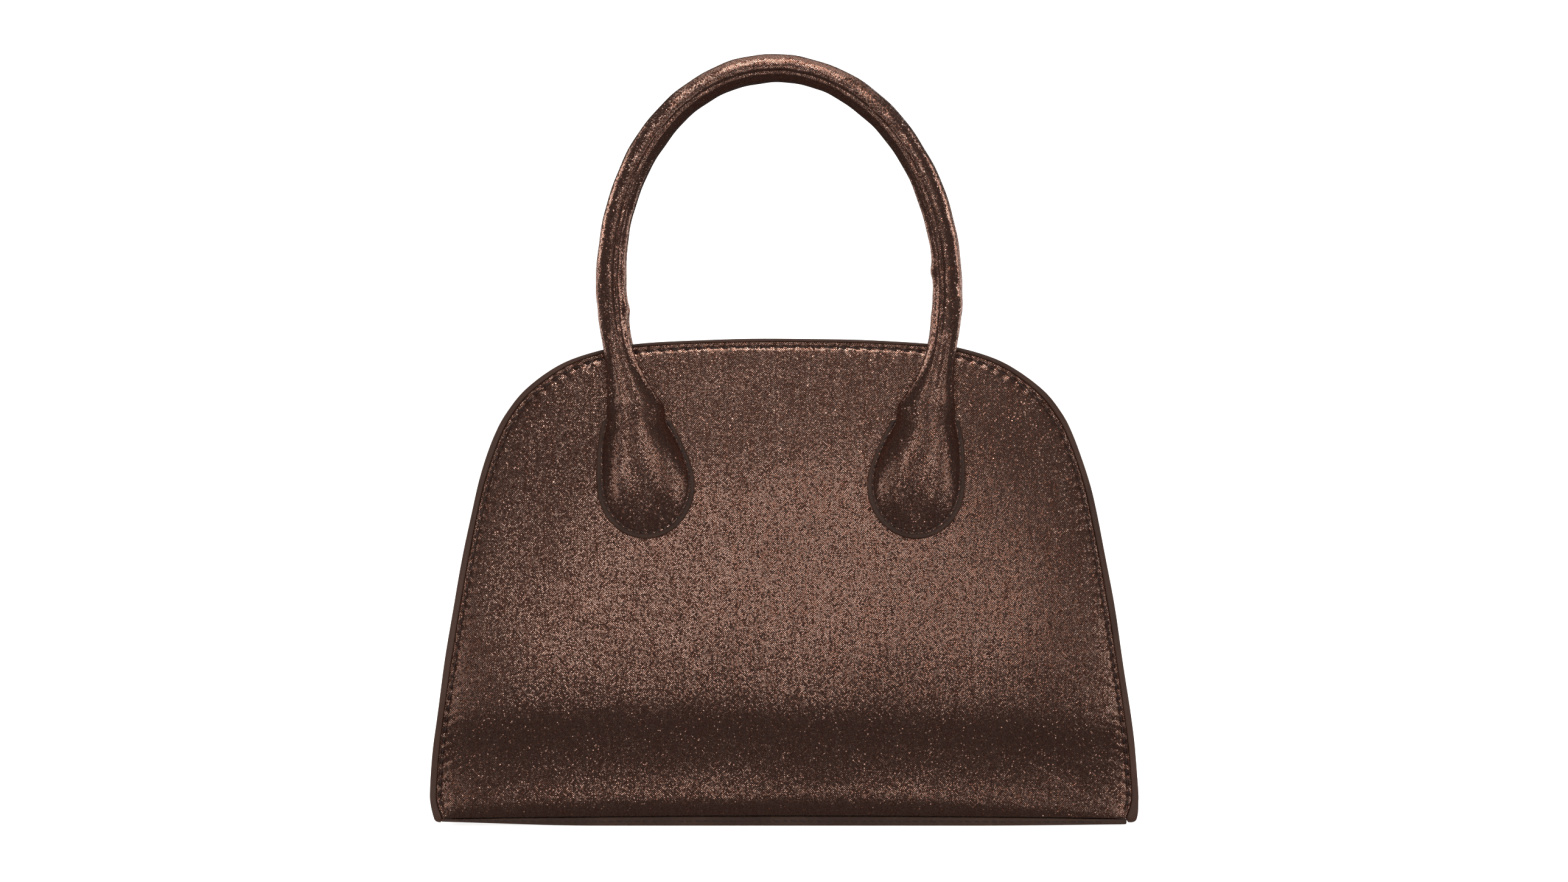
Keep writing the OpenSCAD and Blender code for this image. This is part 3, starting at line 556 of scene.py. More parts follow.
foilCloth = lurexMaterial()
smoothTrim = trimMaterial("smoothTrim", srgb(46, 27, 18), srgb(60, 38, 28), 0.46, 0.3)
edgePaint = trimMaterial("edgePaint", srgb(52, 31, 22), srgb(64, 42, 32), 0.42, 0.05, 500.0)
liningCloth = wovenMaterial("liningCloth", srgb(88, 68, 56), srgb(128, 104, 88), 0.35, 0.75, 0.15)
zipTape = wovenMaterial("zipTape", srgb(30, 20, 16), srgb(58, 42, 34), 0.5, 0.7, 0.1)
agedBrass = metalMaterial("agedBrass", srgb(92, 70, 46), srgb(168, 132, 88))
foamCells = cellMaterial("foamCells", srgb(160, 158, 150), srgb(196, 194, 186), 1800.0, 0.5)
greyCard = cellMaterial("greyCard", srgb(96, 90, 82), srgb(124, 117, 106), 2600.0, 0.25)
darkThread = threadMaterial("darkThread", srgb(26, 14, 11), srgb(60, 38, 31), 900.0)
ropeCotton = threadMaterial("ropeCotton", srgb(168, 160, 142), srgb(216, 208, 190), 500.0)
print("materials made")


# Panels of metallic cloth, their foam and their lining

for face in faceSign:
    cloth = ringSheet(face + "Fabric", panelOutline, edgeGaps, 34, face, panelFront(face),
                      layerAt(-layers["fabric"]))
    dress(cloth, foilCloth, "bag", "lurex_fabric", face + "_panel")

inside = {
    "sideInset": 8.5, "foot": 8.25, "foamOut": -1.8, "liningOut": -4.3, "crownInset": 13.95, "drape": 0.5,
    "spacing": 2.5, "foamRims": (0.0, 0.6, 1.6, 6.0), "liningRims": (0.0, 2.0, 5.0, 10.0),
}
insideOutline = closedOutline(inside["sideInset"], inside["crownInset"], inside["foot"], inside["spacing"])
for face in faceSign:
    foam = ringSheet(face + "FoamPad", insideOutline, inside["foamRims"], 16, face,
                     lambda x, z, gap, column: inside["foamOut"] - 0.5 * np.exp(-gap / 0.6),
                     layerAt(inside["foamOut"] - layers["foam"]))
    dress(foam, foamCells, "bag", "foam", face + "_foam")

    def drape(x, z, gap, column):  # slow folds that hang from the top and fade at the edge
        fold = 0.5 + 0.5 * np.sin(x / 13 + 1.2 * np.sin(z / 40) + (0.0 if face == "front" else 1.4))
        fade = ease(gap, 2, 30) * (1 - ease(z, 60, 150) * 0.4)
        return inside["liningOut"] - layers["lining"] - inside["drape"] * fold * fade

    cloth = ringSheet(face + "LiningCloth", insideOutline, inside["liningRims"], 22, face,
                      lambda x, z, gap, column: drape(x, z, gap, column) + layers["lining"], drape)
    dress(cloth, liningCloth, "bag", "lining", face + "_lining")
print("panels, foam and lining made")


# Painted edges: a squarish rounded bead from the inner to the outer outline, which fans round the
# bottom corners and ends under them

edge = {
    "squareness": 0.62, "rows": 620, "sides": 20, "cornerSteps": 12, "cornerTurn": 78.0, "cornerReach": 1.6,
    "uneven": 0.07, "bluntLeft": 0.8, "bluntRight": 1.6, "bluntFrom": 124.5, "bluntTo": 127.5, "gap": 0.1,
}


def paintedEdge(face):
    t = evenPlaces(archPoints, archEnd, edge["rows"])
    inner, outer = archPoints(t, layers["edgeSide"], layers["edgeCrown"]), archPoints(t)

    def corner(which, side):
        turn = np.radians(np.linspace(edge["cornerTurn"], 0, edge["cornerSteps"], endpoint=False))
        reach = mix(np.linalg.norm(outer[which] - inner[which]), edge["cornerReach"], turn / turn[0])
        around = together(side * np.cos(turn), -np.sin(turn)) * reach[:, None]
        return np.repeat(inner[which][None], len(turn), axis=0), inner[which] + around

    rightIn, rightOut = corner(0, 1)
    leftIn, leftOut = corner(-1, -1)
    inner = np.concatenate([rightIn, inner, leftIn[::-1]])
    outer = np.concatenate([rightOut, outer, leftOut[::-1]])
    i = np.arange(len(inner))
    uneven = 1 + edge["uneven"] * (np.sin(i / 7.3) * 0.5 + np.sin(i / 17.1 + 1) * 0.5)
    outer = inner + (outer - inner) * uneven[:, None] / (1 + edge["uneven"])
    blunt = np.where(outer[:, 0] > 0, edge["bluntRight"], edge["bluntLeft"]) * (1 - ease(outer[:, 1], 2.0, 10.0))
    outer[:, 0] += np.sign(outer[:, 0]) * blunt * ease(np.abs(outer[:, 0]), edge["bluntFrom"], edge["bluntTo"])
    depth = layers["fabric"] + edge["gap"] + layers["trim"]
    turn = fullTurn(edge["sides"])
    across = mix(0.03, 1, 0.5 + squarish(np.cos(turn), edge["squareness"]) / 2)
    p = mix(inner[:, None], outer[:, None], across[None, :, None])
    taper = np.minimum(1, 0.35 + 0.65 * np.minimum(i, i[::-1]) / edge["cornerSteps"])[:, None]
    half = depth / 2 + layers["edgeProud"]
    out = -depth / 2 - layers["seamDrop"] * 0.8 + half * squarish(np.sin(turn), edge["squareness"])[None] * taper
    y = faceSign[face] * (skin(inner[:, 0], inner[:, 1], face)[:, None] + out)
    return tubePiece(face + "EdgePaint", together(p[..., 0], y, p[..., 1]))


for face in faceSign:
    dress(paintedEdge(face), edgePaint, "bag", "edge_paint", face + "_painted_edge")
print("painted edges made")


# Stitches: each a small bead of thread that bows out of the cloth between its two holes

stitch = {
    "sides": 6, "slant": 0.12,
    "rings": np.array([[-0.5, 0.25, -0.9], [-0.42, 0.75, -0.35], [-0.2, 1.0, 0.25], [0.2, 1.0, 0.25],
                       [0.42, 0.75, -0.35], [0.5, 0.25, -0.9]]),  # along, thickness, rise
}


# One mesh of stitches from centres, directions along the row and outward directions
def stitchPiece(name, centres, along, outward, length, radius, body="bag"):
    along, outward = (unit(np.broadcast_to(v, centres.shape)) for v in (along, outward))
    across = unit(np.cross(along, outward))
    outward = np.cross(across, along)
    along = unit(along + across * stitch["slant"])
    across = np.cross(along, outward)
    length = np.broadcast_to(length, len(centres))[:, None, None]
    sides, rings = stitch["sides"], stitch["rings"]
    turn = fullTurn(sides)
    thick, rise = rings[:, 1:2], rings[:, 2:3]
    local = together(rings[:, :1], thick * np.cos(turn) * radius, thick * np.sin(turn) * radius + rise * radius)
    local = local.reshape(-1, 3)[None]
    points = (centres[:, None] + along[:, None] * (local[..., :1] * length)
              + across[:, None] * local[..., 1:2] + outward[:, None] * local[..., 2:3])
    j = np.arange(sides)
    caps = np.stack([j[::-1], j + (len(rings) - 1) * sides])
    shift = (np.arange(len(centres)) * len(rings) * sides)[:, None, None]
    faces = [(gridQuads(len(rings), sides, True)[None] + shift).reshape(-1, 4),
             (caps[None] + shift).reshape(-1, sides)]
    return dress(makePiece(name, points.reshape(-1, 3), faces), darkThread, body, "zip_tape")


for face in faceSign:
    total = int(stitchCount[panelOnArch > 0].max())
    at = np.interp(np.arange(1, total - 1) + 0.5, stitchCount, np.arange(len(stitchCount)))
    column = np.clip(at.astype(int), 0, len(panelLoop) - 2)
    ahead = panelLoop[column + 1] - panelLoop[column]
    place = mix(panelLoop[column], panelLoop[column + 1], (at - column)[:, None])
    place = place - panelNormal[column] * seamInset[column][:, None]
    out = -layers["seamDrop"] - seam["groove"] * 0.45
    stitchPiece(face + "EdgeStitches", onSkin(place[:, 0], place[:, 1], out, face),
                together(ahead[:, 0], 0, ahead[:, 1]), skinNormal(place[:, 0], place[:, 1], face),
                seamPitch[column] * seam["threadShare"], seam["thread"])
print("edge stitches made")


# Tabs: a teardrop on each foot of a handle, in shares of its height

tab = {
    "height": 43.4, "width": 36.0, "top": 149.0, "middle": 49.7, "neck": 53.4, "shift": -1.12, "rim": 1.7,
    "backing": 1.6, "lift": 0.15, "edgeThickness": 0.7, "roundUpTo": 0.45, "stitchInset": 0.45, "stitchPitch": 2.8,
    "stitchRise": 0.55, "thread": 0.27, "footThickness": 1.5, "topThickness": 8.2, "padReach": 3.8,
}


# Half width of a tab as a share: a half ellipse at its foot, then a taper towards the neck
def tabWidth(h):
    low = np.sqrt(np.clip(1 - ((tab["roundUpTo"] - h) / tab["roundUpTo"]) ** 2, 0, 1))
    high = np.interp(h, [0.45, 0.55, 0.72, 0.88, 1.0], [1, 1, 0.93, 0.81, 0.7])
    smooth = 1 - 0.3 * np.clip((h - 0.5) / 0.5, 0, 1) ** 1.6
    return np.where(h < tab["roundUpTo"], low, np.where(h < 0.5, 1.0, mix(high, smooth, 0.8)))


# Middle of a tab at a share of its height, on the right side; it leans out towards the neck
def tabMiddle(h):
    return mix(tab["middle"], tab["neck"], 0.97 * ease(h, 0.42, 1.12))


# Outline of a tab inside its rim, walked from the top of its left edge round the foot to the right
def tabOutline(side, inset, count=400, top=1.0):
    foot = tab["top"] - tab["height"] + inset
    straight = np.linspace(top, tab["roundUpTo"], count // 3)
    rounded = tab["roundUpTo"] * (1 - np.sin(np.linspace(0, math.pi / 2, count // 3)))
    h = np.concatenate([straight, rounded[1:]])
    z = mix(foot, tab["top"], h)
    half = tabWidth(h) * (tab["width"] / 2 - inset)
    middle = side * tabMiddle(h) + tab["shift"]
    return np.concatenate([together(middle - half, z), together(middle + half, z)[-2::-1]])


# Squared distance of points (x, z) from each point of an outline
def awayFrom(x, z, outline):
    return (x[..., None] - outline[:, 0]) ** 2 + (z[..., None] - outline[:, 1]) ** 2


# Backing of a tab: a smooth plate with a rounded edge, on the skin
def tabBacking(name, face, side):
    rows, cols, roundRows = 90, 40, 36
    phi = np.linspace(0.03, math.pi / 2, roundRows)
    h = np.concatenate([tab["roundUpTo"] * (1 - np.cos(phi)),
                        np.linspace(tab["roundUpTo"], 1, rows - roundRows + 1)[1:]])
    turn = fullTurn(cols)
    half = tabWidth(h) * tab["width"] / 2
    x = (side * tabMiddle(h) + tab["shift"])[:, None] + half[:, None] * squarish(np.cos(turn), 0.55)
    z = np.broadcast_to(mix(tab["top"] - tab["height"], tab["top"], h)[:, None], x.shape)
    gap = np.sqrt(awayFrom(x, z, tabOutline(side, 0.0)).min(axis=-1))
    roundness = np.sqrt(np.clip(1 - (1 - np.clip(gap / 0.8, 0, 1)) ** 2, 0, 1))
    thick = tab["backing"] / 2
    out = 0.1 + thick + thick * np.sign(np.sin(turn))[None] * np.where(np.abs(np.sin(turn)) < 1e-6, 0, roundness)
    return tubePiece(name, onSkin(x, z, out, face))


handle = {
    "diameter": 10.3, "apex": 279.6, "spring": 200.0, "springHalf": 62.0, "axis": 154.0, "neckDepth": 8.4,
    "neckWidth": 21.0, "backSpread": 0.6, "backShift": 0.5, "legSwell": 0.35, "shift": 3.4, "neckShare": 0.33,
    "flareTop": 180.2, "touch": 5.35, "restGap": 0.6, "sides": 96, "grooveAngle": 15.0, "groove": 0.5,
    "grooveReach": 7.0, "flangeThin": 0.16, "lip": 0.22, "knob": 0.55, "ropeEndLeft": 189.7, "ropeEndRight": 204.3,
    "joinLow": 141.0, "joinHigh": 160.0, "bendLow": 149.5, "bendHigh": 158.5, "bendDepth": 36.4,
}


def flare(z):
    return (1 - np.clip((z - handle["axis"]) / (handle["flareTop"] - handle["axis"]), 0, 1)) ** 2


def legHalf(z):
    share = np.clip((z - handle["axis"]) / (handle["spring"] - handle["axis"]), 0, 1)
    return handle["springHalf"] - (handle["springHalf"] - tab["neck"]) * (1 - share) ** 2


def handleLean(z):
    share = np.clip((z - handle["axis"]) / (handle["apex"] - handle["axis"]), 0, 1)
    return -handle["shift"] * mix(handle["neckShare"], 1, share)


crestDepth = float(skin(legHalf(handle["flareTop"]), body["height"])) + handle["restGap"] + handle["diameter"] / 2


# Distance of the handle's middle line from the middle plane: along the skin up to the flare's top,
# then straight to where the two handles touch
def handleDepth(x, z):
    thick = mix(handle["diameter"], handle["neckDepth"], flare(z))
    low = np.maximum(skin(x, z) + handle["restGap"] + thick / 2, crestDepth)
    high = mix(crestDepth, handle["touch"], (z - handle["flareTop"]) / (handle["apex"] - handle["flareTop"]))
    return np.where(z > handle["flareTop"], high, low)


# Middle line from the right neck over the arch to the left neck: legs that lean in, and a half ellipse
def handleLine(spacing=0.9):
    legZ = np.arange(handle["joinLow"], handle["spring"], spacing * 0.7)
    turn = np.linspace(0, math.pi, int(230 / spacing))
    x = np.concatenate([legHalf(legZ), handle["springHalf"] * np.cos(turn), -legHalf(legZ)[::-1]])
    z = np.concatenate([legZ, mix(handle["spring"], handle["apex"], np.sin(turn)), legZ[::-1]])
    path = together(x + handleLean(z), -handleDepth(np.abs(x), z), z)
    step = np.gradient(path, axis=0)
    ahead = unit(np.concatenate([step[:, :1] * (1 - flare(z)[:, None]), step[:, 1:]], axis=1))
    front = unit(np.array([0.0, -1.0, 0.0]) + ahead * ahead[:, 1:2])
    return path, np.cross(ahead, front), front


coverTurn = fullTurn(handle["sides"]) - math.pi / 2  # the cloth's seam lies at the back


# Soft folds along a leg and its tab, for a share u from the inner edge at -1 to the outer edge at 1
def legFolds(u, z, side):
    valley = np.interp(z, [112, 126, 141, 165, 182], [0.1, 0.18, 0.27, 0.05, 0.1]) + (0.03 if side < 0 else -0.06)
    ridges = 0.5 * bump(u, valley + 0.42, 0.3) - 0.45 * bump(u, valley, 0.26) + 0.2 * bump(u, valley - 0.5, 0.3)
    ripples = 0.05 * np.sin(u * 6 + z / 11 + side) + 0.02 * np.sin(u * 11 - z / 7)
    return (ridges + ripples) * ease(z, 107, 122) * (1 - ease(z, 172, 188))


# Rope part of a cover: rounded sections, grooved where the flange on the inner side is sewn, with folds
# on the legs, small lumps all along and a knob where the rope inside ends
def ropeSections():
    path, outer, front = handleLine()
    z = path[:, 2:3]
    c, s = np.cos(coverTurn)[None], np.sin(coverTurn)[None]
    width = mix(handle["diameter"], handle["neckWidth"], flare(z)) / 2
    width = width + handle["legSwell"] * bump(z, 190, 14) * np.where(path[:, :1] > 0, 1.6, 1.0)
    thick = mix(handle["diameter"], handle["neckDepth"], flare(z)) / 2
    angle = np.degrees(coverTurn)[None]
    sewn = ease(z, 168, 192)
    along = np.arange(len(path))[:, None]
    depth = handle["groove"] * (1 + 0.25 * np.sin(along / 3.1) + 0.2 * np.sin(along / 1.7))
    rows = (90 + handle["grooveAngle"], 270 - handle["grooveAngle"], -90 - handle["grooveAngle"])
    groove = sum(bump(angle, row, handle["grooveReach"]) for row in rows) * depth * sewn
    lip = handle["lip"] * bump(angle, rows[0] + 15, 7) * sewn
    slim = 1 - handle["flangeThin"] * ease(-c, 0.35, 0.75) * sewn
    back = np.where(s < 0, mix(0.78, 1.0, ease(z, 158, 176)), 1.0)
    left = path[:, :1] < 0
    fold = np.where(s > 0, np.where(left, legFolds(c, z, -1.0), legFolds(c, z, 1.0)), 0.0)
    swell = (0.10 * np.sin(along / 9.0 + 0.7) + 0.07 * np.sin(along / 4.3 + c * 2)
             + 0.06 * np.sin(along / 2.3 + c * 4)) * ease(z, 175, 195)
    ropeEnd = np.where(left, handle["ropeEndLeft"], handle["ropeEndRight"])
    knob = (handle["knob"] * bump(z, ropeEnd, 2.2) - 0.25 * ease(-z, -ropeEnd, -ropeEnd + 9)) * ease(-c, 0.3, 0.9)
    radius = swell - groove + lip + knob
    return (path[:, None] + outer[:, None] * (c * (width + radius))[..., None]
            + front[:, None] * (s * (thick + radius) * slim * back + fold * s)[..., None])


# Tab part of a cover at heights z: a crowned pad on its backing, sewn down round its outline
def tabSections(face, side, z):
    foot = tab["top"] - tab["height"] + tab["rim"]
    h = (z - foot) / (tab["top"] - foot)
    half = tabWidth(np.clip(h, 0, 1.0)) * (tab["width"] / 2 - tab["rim"])
    c, s = np.cos(coverTurn), np.sin(coverTurn)
    x = (side * tabMiddle(h) + tab["shift"])[:, None] + side * half[:, None] * c
    zz = np.broadcast_to(z[:, None], x.shape)
    outline = tabOutline(side, tab["rim"], 540, 1.3)
    away = awayFrom(x, zz, outline)
    gap = np.sqrt(away.min(axis=-1))
    beat = np.cos(2 * math.pi * runLength(outline)[away.argmin(axis=-1)] / tab["stitchPitch"])
    crown = mix(tab["footThickness"], tab["topThickness"], np.clip(h, 0, 1.1)[:, None])
    past = np.maximum(gap - tab["stitchInset"], 0)
    rise = tab["edgeThickness"] + (crown - tab["edgeThickness"]) * (1 - np.exp(-past / tab["padReach"]))
    groove = 0.32 * bump(gap, tab["stitchInset"], 0.4) * (0.6 + 0.4 * beat)
    rise = rise - (groove + 0.12 * beat * np.exp(-past / 1.5)) * (h < 1)[:, None]
    folds = legFolds(c[None], z[:, None], side) * (1 - np.exp(-past / 2.0))
    wrinkle = 0.12 * np.sin(x / 2.9 + zz / 6.1) * np.sin(zz / 4.3 + x / 8) * (1 - np.exp(-past / 3))
    base = tab["lift"] + tab["backing"]
    out = np.where(s > 1e-6, base + rise + folds + wrinkle, base)
    out = np.where(np.abs(s) < 1e-6, base + tab["edgeThickness"] / 2, out)
    return onSkin(x, zz, out, face)


# Cover of a handle with its two tabs, sewn as one piece
def handleCover(face):
    rope = ropeSections()
    if face == "back":
        rope = rope * [1, -1, 1]
        away = ease(rope[:, :1, 2], 160, 200)
        rope[..., 0] += away * (handle["backSpread"] * np.tanh(rope[:, :1, 0] / 20) + handle["backShift"])
    foot = tab["top"] - tab["height"] + tab["rim"]
    phi = np.linspace(0.045, math.pi / 2, 38)
    reach = tab["roundUpTo"] * (tab["top"] - foot)
    straight = np.arange(foot + reach + 0.6, handle["joinLow"] - 0.3, 0.6)
    low = np.concatenate([foot + reach * (1 - np.cos(phi)), straight])
    count = int(np.sum(rope[: len(rope) // 2, 0, 2] < handle["joinHigh"]))
    middle = handle["sides"] // 2
    ends = []
    for side, rows in ((1, slice(0, count)), (-1, slice(len(rope) - count, len(rope)))):
        level = rope[rows][:, middle, 2]
        share = ease(level, handle["joinLow"], handle["joinHigh"])[:, None, None]
        joined = mix(tabSections(face, side, level), rope[rows], share)
        rope = np.concatenate([rope[: rows.start], joined, rope[rows.stop:]])
        pad = tabSections(face, side, low)
        ends.append(pad if side > 0 else pad[::-1])
    loops = np.concatenate([ends[0], rope, ends[1]])
    u = aroundLength(loops)
    clothMap = together(u - u[:, middle:middle + 1], runLength(loops[:, middle])[:, None])
    return tubePiece(face + "HandleCover", loops, clothMap)


for face, sign in faceSign.items():
    bend = [(0, sign * handle["bendDepth"] * mm, handle[k] * mm) for k in ("bendLow", "bendHigh")]
    cover = handleCover(face)
    dress(cover, foilCloth, ("bag", face + "_handle", *bend), "lurex_fabric",
          face + "_handle_cover", face + "_left_tab", face + "_right_tab")
    for name, side in sideSign.items():
        dress(tabBacking(f"{face}{name.title()}TabBacking", face, side), smoothTrim, "bag", "smooth_trim",
              f"{face}_{name}_tab_backing")
        outline = tabOutline(side, tab["rim"] + tab["stitchInset"], 700)
        length = runLength(outline)
        at = np.arange(tab["stitchPitch"] / 2, length[-1], tab["stitchPitch"])
        place, ahead = (together(*[np.interp(at + d, length, outline[:, k]) for k in (0, 1)]) for d in (0, 0.3))
        along = ahead - place
        centres = onSkin(place[:, 0], place[:, 1], tab["lift"] + tab["backing"] + tab["stitchRise"], face)
        stitchPiece(f"{face}{name.title()}TabStitches", centres, together(along[:, 0], 0, along[:, 1]),
                    skinNormal(place[:, 0], place[:, 1], face), tab["stitchPitch"] * 0.86, tab["thread"])
print("handles and tabs made")


# Rope inside a handle: three strands that turn about each other, and a soft pad in each neck

rope = {
    "radius": 3.7, "end": 190.6, "turnLength": 13.0, "strand": 0.16, "sides": 30, "padLow": 155.5,
    "padHigh": 188.0, "padHalf": 16.4, "padShare": 0.62,
}
path, outer, front = handleLine(1.2)
turn = fullTurn(rope["sides"])


# Loops round the kept part of the handle's line, wide by deep
def ropeLoops(keep, wide, deep):
    return (path[keep][:, None] + outer[keep][:, None] * (wide * np.cos(turn))[..., None]
            + front[keep][:, None] * (deep * np.sin(turn))[..., None])


for face in faceSign:
    flip = [1, -faceSign[face], 1]
    keep = path[:, 2] > rope["end"]
    twist = 2 * math.pi * runLength(path)[keep] / rope["turnLength"]
    strands = np.abs(np.cos(1.5 * (turn[None] - twist[:, None] / 1.5)))
    radius = rope["radius"] * (1 - rope["strand"] + rope["strand"] * strands)
    dress(tubePiece(face + "HandleRope", ropeLoops(keep, radius, radius) * flip), ropeCotton, face + "_handle",
          "cord", face + "_handle_cord")
    for name, part in (("Right", path[:, 0] > 0), ("Left", path[:, 0] < 0)):
        keep = part & (path[:, 2] > rope["padLow"]) & (path[:, 2] < rope["padHigh"])
        z = path[keep][:, 2:3]
        away = np.abs(z - (rope["padLow"] + rope["padHigh"]) / 2) / rope["padHalf"]
        close = np.sqrt(np.clip(1 - away ** 4, 0.02, 1))
        wide, deep = (mix(handle["diameter"], handle[k], flare(z)) / 2 * rope["padShare"] * close
                      for k in ("neckWidth", "neckDepth"))
        pad = tubePiece(f"{face}{name}NeckPad", ropeLoops(keep, wide, deep) * flip)
        dress(pad, foamCells, face + "_handle", "foam", face + "_neck_padding")
print("ropes and neck pads made")


# Gussets: a channel of smooth trim, with a web that sags between two flanges

gusset = {
    "end": 12.5, "fadeSteps": 4, "footShare": 0.2, "bend": 0.9, "rows": 170, "webCols": 42, "wrinkle": 0.6,
    "fold": 1.8, "foldReach": 0.1, "gap": 0.3, "inset": -0.3,  # the flanges run into the painted edges
    "liningRows": 60, "liningCols": 43, "liningIn": 5.1, "liningDrop": 1.8, "liningSag": 0.55,
}
edgeOf = lambda t: archPoints(t, layers["edgeSide"], layers["edgeCrown"])
webOf = lambda t: archPoints(t, layers["edgeSide"] + layers["flange"], layers["edgeCrown"] + layers["flange"])


# Sag of a web: the full sag at mid depth, none at the zip and little at the base
def sagAt(t, u):
    rise = np.sin(math.pi / 2 * np.clip((gusset["end"] - t) / gusset["fadeSteps"], 0, 1))
    return layers["sag"] * rise * np.clip(t, gusset["footShare"], 1) * (1 - u ** 2)


# Depth of a web's folds: a wandering valley down its middle between two low ridges + slanting wrinkles
# near the base and the top + long waves, which fade to nothing at the flanges and both ends
def webFolds(t, u, height, side):
    wander = u + 0.05 * np.sin(height / 21 + side) + 0.03 * np.sin(height / 8.3)
    valley = bump(wander, 0, gusset["foldReach"]) - 0.5 * bump(np.abs(wander), 0.24, 0.12)
    slant = (np.sin(height / 5.5 - 9 * np.abs(u) + side) * bump(height, 24, 20)
             + 0.7 * np.sin(height / 4.2 + 7 * np.abs(u)) * bump(height, 140, 22))
    waves = gusset["wrinkle"] * (slant * 0.6 + np.sin(height / 17 + u * 2 + side))
    fade = (1 - u ** 2) * np.clip(t, 0, 1) * ease(gusset["end"] - t, 0, 2)
    return (gusset["fold"] * valley * ease(height, 18, 60) + waves) * fade


# Rows of a channel's face: down one flange, round a bend, across the web and up the other flange
def channel(side, half, floor, radius):
    t = evenPlaces(edgeOf, gusset["end"], gusset["rows"], 600)
    e, w = edgeOf(t), webOf(t)
    outward = unit(e - w)
    top = np.linalg.norm(e - w, axis=1)[:, None] - gusset["inset"]
    y1 = (skin(e[:, 0], e[:, 1]) - layers["fabric"] - gusset["gap"] - half)[:, None]
    arc = np.radians(np.linspace(0, 90, 5))[None]
    down = mix(top, floor + radius, np.linspace(0, 1, 5, endpoint=False)[None])
    web = np.linspace(-1, 1, gusset["webCols"])[None, 1:-1]
    turnIn, turnDown = radius * (1 - np.cos(arc)), floor + radius * (1 - np.sin(arc)) + 0 * y1
    y = np.concatenate([-y1 + 0 * down, -y1 + turnIn, (y1 - radius) * web, (y1 - turnIn)[:, ::-1], y1 + 0 * down],
                       axis=1)
    q = np.concatenate([down, turnDown, floor + 0 * web + 0 * y1, turnDown[:, ::-1], down[:, ::-1]], axis=1)
    u = np.clip(y / y1, -1, 1)
    tt = t[:, None]
    q = q - sagAt(tt, u) * (q < top * 0.9) - webFolds(tt, u, w[:, 1:2], side) * (q < floor + radius)
    return together(side * (w[:, :1] + outward[:, :1] * q), y, w[:, 1:] + outward[:, 1:] * q)


# Lining of a gusset: a thinner web inside it, which follows its sag and folds
def liningWeb(side, extra):
    t = np.linspace(1, gusset["end"], gusset["liningRows"])
    e, w = edgeOf(t), webOf(t)
    outward = unit(e - w)
    depth = skin(e[:, 0], e[:, 1])
    half = (depth - gusset["liningIn"])[:, None]
    room = (depth - layers["fabric"] - gusset["gap"])[:, None]
    u = np.linspace(-1, 1, gusset["liningCols"])[None]
    tt = t[:, None]
    across = u * half / room
    q = -(gusset["liningDrop"] + extra + sagAt(tt, across) + webFolds(tt, across, w[:, 1:2], side))
    q = q - gusset["liningSag"] * (1 - u ** 2) * np.clip(tt - 1, 0, 1)
    return together(side * (w[:, :1] + outward[:, :1] * q), u * half, w[:, 1:] + outward[:, 1:] * q)


for name, side in sideSign.items():
    shown = channel(side, layers["trim"], 0.0, gusset["bend"])
    hidden = channel(side, 0.0, -layers["trim"], gusset["bend"] + layers["trim"])
    dress(slabPiece(name + "GussetWeb", shown, hidden), smoothTrim, "bag", "smooth_trim", name + "_gusset")
for name, side in sideSign.items():
    dress(slabPiece(name + "GussetLining", liningWeb(side, 0.0), liningWeb(side, layers["lining"])), liningCloth,
          "bag", "lining", name + "_lining_gusset")
print("gussets made")


# Facings behind the top edges of the panels

zipTop = {
    "height": 168.851, "slot": 8.5, "slotEnd": 63.2, "slotRound": 5.6, "reach": 71.3, "endSlot": 69.0,
    "tapeZ": 167.25, "toothPitch": 3.0, "toothRoot": 2.4, "toothSize": (1.3, 2.12, 2.4), "teethEnd": 66.2,
    "hingeY": 25.566, "hingeZ": 168.251, "seamIn": 2.65, "rampLeft": (-57.0, -27.0), "rampRight": (44.0, 14.0),
    "sliderX": 62.465, "stitchPitch": 3.0, "thread": 0.2, "half": 0.6, "fold": 0.35, "tapeHalf": 0.27,
    "levelFrom": 58, "levelTo": 64,  # past the slot the band lies flat under the pull
}


# Facing: straight across from the level of the zip's seam to the panel's edge
def facing(face):
    t = np.linspace(gusset["end"], archEnd - gusset["end"], 150)
    foot = together(webOf(t)[:, 0], zipTop["height"] + 0.3)
    tip = edgeOf(t) - unit(edgeOf(t) - webOf(t)) * gusset["inset"]
    p = mix(foot[None], tip[None], np.linspace(0, 1, 9)[:, None, None])
    out = -(layers["fabric"] + 0.12)
    return slabPiece(face + "TopFacing", onSkin(p[..., 0], p[..., 1], out, face),
                     onSkin(p[..., 0], p[..., 1], out - layers["trim"], face))


for face in faceSign:
    dress(facing(face), smoothTrim, "bag", "smooth_trim", face + "_top_facing")


# Base: a plate of trim that bows up towards its ends, with a rounded edge

base = {
    "halfLength": 126.0, "thickness": 2.4, "bowLeft": 1.5, "bowRight": 0.5, "flat": 0.55, "corner": 3.5,
    "round": 0.4, "square": 0.5, "stitchPitch": 3.2, "stitchEnd": 118, "thread": 0.2,
}
baseLining = {"halfLength": 116.0, "halfDepth": 35.8, "corner": 5.0, "low": 5.3, "high": 5.85}


def flatLine(x):
    return 0 * x


# Half depth of a plate at x: the given depth with round corners
def plateDepth(x, halfLength, depth, corner):
    past = np.clip(np.abs(x) - (halfLength - corner), 0, corner)
    return np.minimum(depth, depth.max() - corner + np.sqrt(corner ** 2 - past ** 2))


